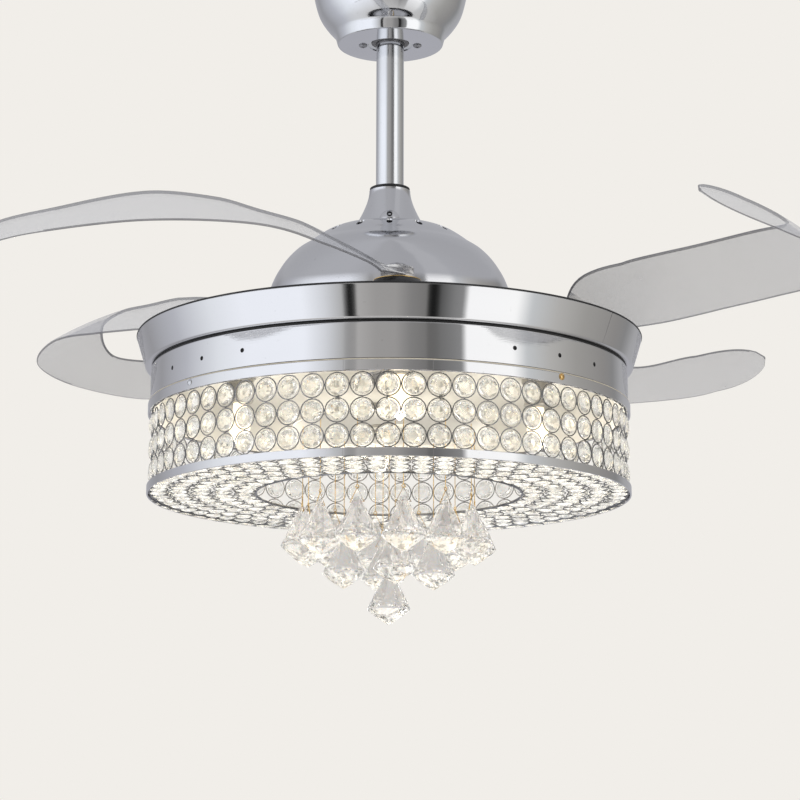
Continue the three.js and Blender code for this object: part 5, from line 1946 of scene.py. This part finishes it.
# ---------------------------------------------------------------------------- studio
@dataclass
class Studio:
    """Camera, floor, surroundings and soft lights."""

    backdrop: Colour = (0.880, 0.855, 0.815)
    floor_height: float = -1.75
    lens: float = 117.74
    eye: Triple = (0.0108, -2.5812, -0.9782)
    pitch_up: float = 11.349
    roll: float = 0.105
    ambient: float = 0.62
    through: float = 0.56
    floor_half: float = 14.0
    floor_glow: float = 0.85
    flag_tone: float = 0.11
    flag_fade: float = 0.72
    overhead: Colour = (0.475, 0.48, 0.505)
    overhead_share: float = 0.92
    underfoot: Colour = (0.62, 0.61, 0.60)
    aim: Triple = (0.0, 0.0, -0.45)
    # Degrees round the fan with the tone seen there, from behind it by its left, its front and its right.
    room: tuple[tuple[float, Colour], ...] = (
        (-180, (0.46, 0.46, 0.5)), (-140, (0.36, 0.36, 0.38)), (-112, (0.56, 0.57, 0.62)),
        (-88, (0.9, 0.93, 0.98)), (-70, (1.04, 1.07, 1.14)), (-40, (1.05, 1.08, 1.15)),
        (-30, (0.8, 0.82, 0.86)), (-20.5, (0.5, 0.5, 0.5)), (-19.3, (0.02, 0.02, 0.02)),
        (-15.6, (0.02, 0.02, 0.02)), (-14.6, (0.5, 0.49, 0.48)), (-6, (0.4, 0.39, 0.38)),
        (3, (0.39, 0.38, 0.37)), (10, (0.27, 0.265, 0.26)), (17.6, (0.22, 0.215, 0.21)),
        (18.4, (0.015, 0.015, 0.015)), (22.2, (0.015, 0.015, 0.015)), (23.2, (0.1, 0.1, 0.1)),
        (30, (0.25, 0.25, 0.25)), (34.6, (0.3, 0.3, 0.3)), (36, (1.16, 1.16, 1.16)),
        (60, (1.18, 1.18, 1.17)), (68, (0.66, 0.68, 0.69)), (82, (0.54, 0.53, 0.51)),
        (100, (0.40, 0.39, 0.37)), (124, (0.31, 0.30, 0.29)), (134, (0.28, 0.28, 0.28)),
        (146, (0.42, 0.42, 0.43)), (180, (0.46, 0.46, 0.5)),
    )

    def camera(self) -> None:
        """Places the camera where the photograph was taken from."""
        data = bpy.data.cameras.new("photo_camera")
        data.lens, data.sensor_width, data.clip_end = self.lens, 36.0, 60.0
        camera = placed("photo_camera", data)
        tip = spin(math.radians(90 + self.pitch_up), "X")
        camera.matrix_world = shift(*self.eye) @ tip @ spin(math.radians(self.roll))
        bpy.context.scene.camera = camera

    def floor(self) -> None:
        """Lays the plain pale floor."""
        half = self.floor_half
        mesh = bpy.data.meshes.new("studio_floor")
        corners = [(-half, -half), (half, -half), (half, half), (-half, half)]
        mesh.from_pydata([(x, y, self.floor_height) for x, y in corners], [], [(0, 1, 2, 3)])
        material = bpy.data.materials.new("pale_floor")
        material.use_nodes = True
        nodes = Nodes(material.node_tree)
        mottle = nodes.noise(3, 2)
        darker = dimmed(self.backdrop, 0.97)
        shader = nodes.principled(Base_Color=nodes.mix(mottle, self.backdrop, darker), Roughness=0.9)
        even = nodes.add("ShaderNodeEmission", {}, {"Color": self.backdrop})
        seen = nodes.value(nodes.add("ShaderNodeLightPath"), "Is Camera Ray") * self.floor_glow
        both = nodes.add("ShaderNodeMixShader", {}, {0: seen, 1: shader.outputs[0], 2: even.outputs[0]})
        nodes.add("ShaderNodeOutputMaterial", {}, {"Surface": both.outputs[0]})
        mesh.materials.append(material)
        floor = placed("studio_floor", mesh)
        floor.visible_glossy = False

    def surroundings(self) -> None:
        """Paints the room: a plain pale backdrop, and soft boxes and dark flags seen in the metal."""
        world = bpy.data.worlds.new("studio_room")
        bpy.context.scene.world = world
        world.use_nodes = True
        nodes = Nodes(world.node_tree)
        way = nodes.add("ShaderNodeTexCoord").outputs["Generated"]
        parts = nodes.add("ShaderNodeSeparateXYZ", {}, {0: way})
        x, y, z = (nodes.value(parts, i) for i in range(3))
        bearing = nodes.add("ShaderNodeMath", {"operation": "ARCTAN2"}, {0: x, 1: y * -1.0})
        turn = nodes.value(bearing) / math.tau + 0.5
        stops = [((degrees + 180) / 360, tone) for degrees, tone in self.room]
        around = nodes.add("ShaderNodeValToRGB", {"stops": stops}, {0: turn})
        unflagged = [(place, tone) for place, tone in stops if tone[0] > self.flag_tone]
        walls = nodes.add("ShaderNodeValToRGB", {"stops": unflagged}, {0: turn})
        level = nodes.ramp(z, [(0.0, 0.0), (0.1, 1.0)])
        overhead = nodes.ramp(z, [(0.37, 0.0), (0.47, 1.0)])
        below = nodes.ramp(z * -1.0, [(0.55, 0.0), (0.9, 1.0)])
        seen = nodes.mix(level * self.flag_fade, around.outputs[0], walls.outputs[0])
        seen = nodes.mix(overhead * self.overhead_share, seen, self.overhead)
        seen = nodes.mix(below, seen, self.underfoot)
        path = nodes.add("ShaderNodeLightPath")
        passed = nodes.value(path, "Is Transmission Ray") * self.through
        direct = nodes.value(path, "Is Camera Ray").at_least(passed)
        glossy = nodes.value(path, "Is Glossy Ray")
        soft = nodes.mix(glossy, (self.ambient,) * 3, seen)
        colour = nodes.mix(direct, soft, self.backdrop)
        shader = nodes.add("ShaderNodeBackground", {}, {"Color": colour, "Strength": 1.0})
        nodes.add("ShaderNodeOutputWorld", {}, {"Surface": shader.outputs[0]})

    def light(self, name: str, place: Triple, size: float, power: float, tone: Colour) -> None:
        """Hangs one soft light that points at the fan.

        Args:
            name: Its name.
            place: Where it is, in metres.
            size: Its side.
            power: Its power, in watts.
            tone: Its colour.
        """
        data = bpy.data.lights.new(name, "AREA")
        data.size, data.energy, data.color = size, power, tone
        lamp = placed(name, data)
        lamp.location = place
        lamp.rotation_euler = (Vector(self.aim) - Vector(place)).to_track_quat("-Z", "Y").to_euler()
        lamp.visible_glossy = lamp.visible_camera = False

    def build(self) -> None:
        """Sets up the whole studio."""
        bpy.context.scene.view_settings.view_transform = "Standard"
        self.camera()
        self.floor()
        self.surroundings()
        self.light("soft_box_left", (-2.4, -2.2, 1.1), 1.8, 42, (0.97, 0.98, 1.0))
        self.light("soft_box_right", (2.2, -2.4, 0.2), 1.6, 30, (1.0, 0.98, 0.95))


def main() -> None:
    """Builds the fan and its studio, piece by piece."""
    logging.basicConfig(level=logging.INFO, format="%(name)s: %(message)s")
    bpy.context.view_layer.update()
    for assembly in (Canopy(), DownRod(), Dome(), DrumMetal(), BeadNets(), Lamps(), Drops(), Rotor()):
        assembly.build()
    Studio().build()


if __name__ == "__main__":
    main()
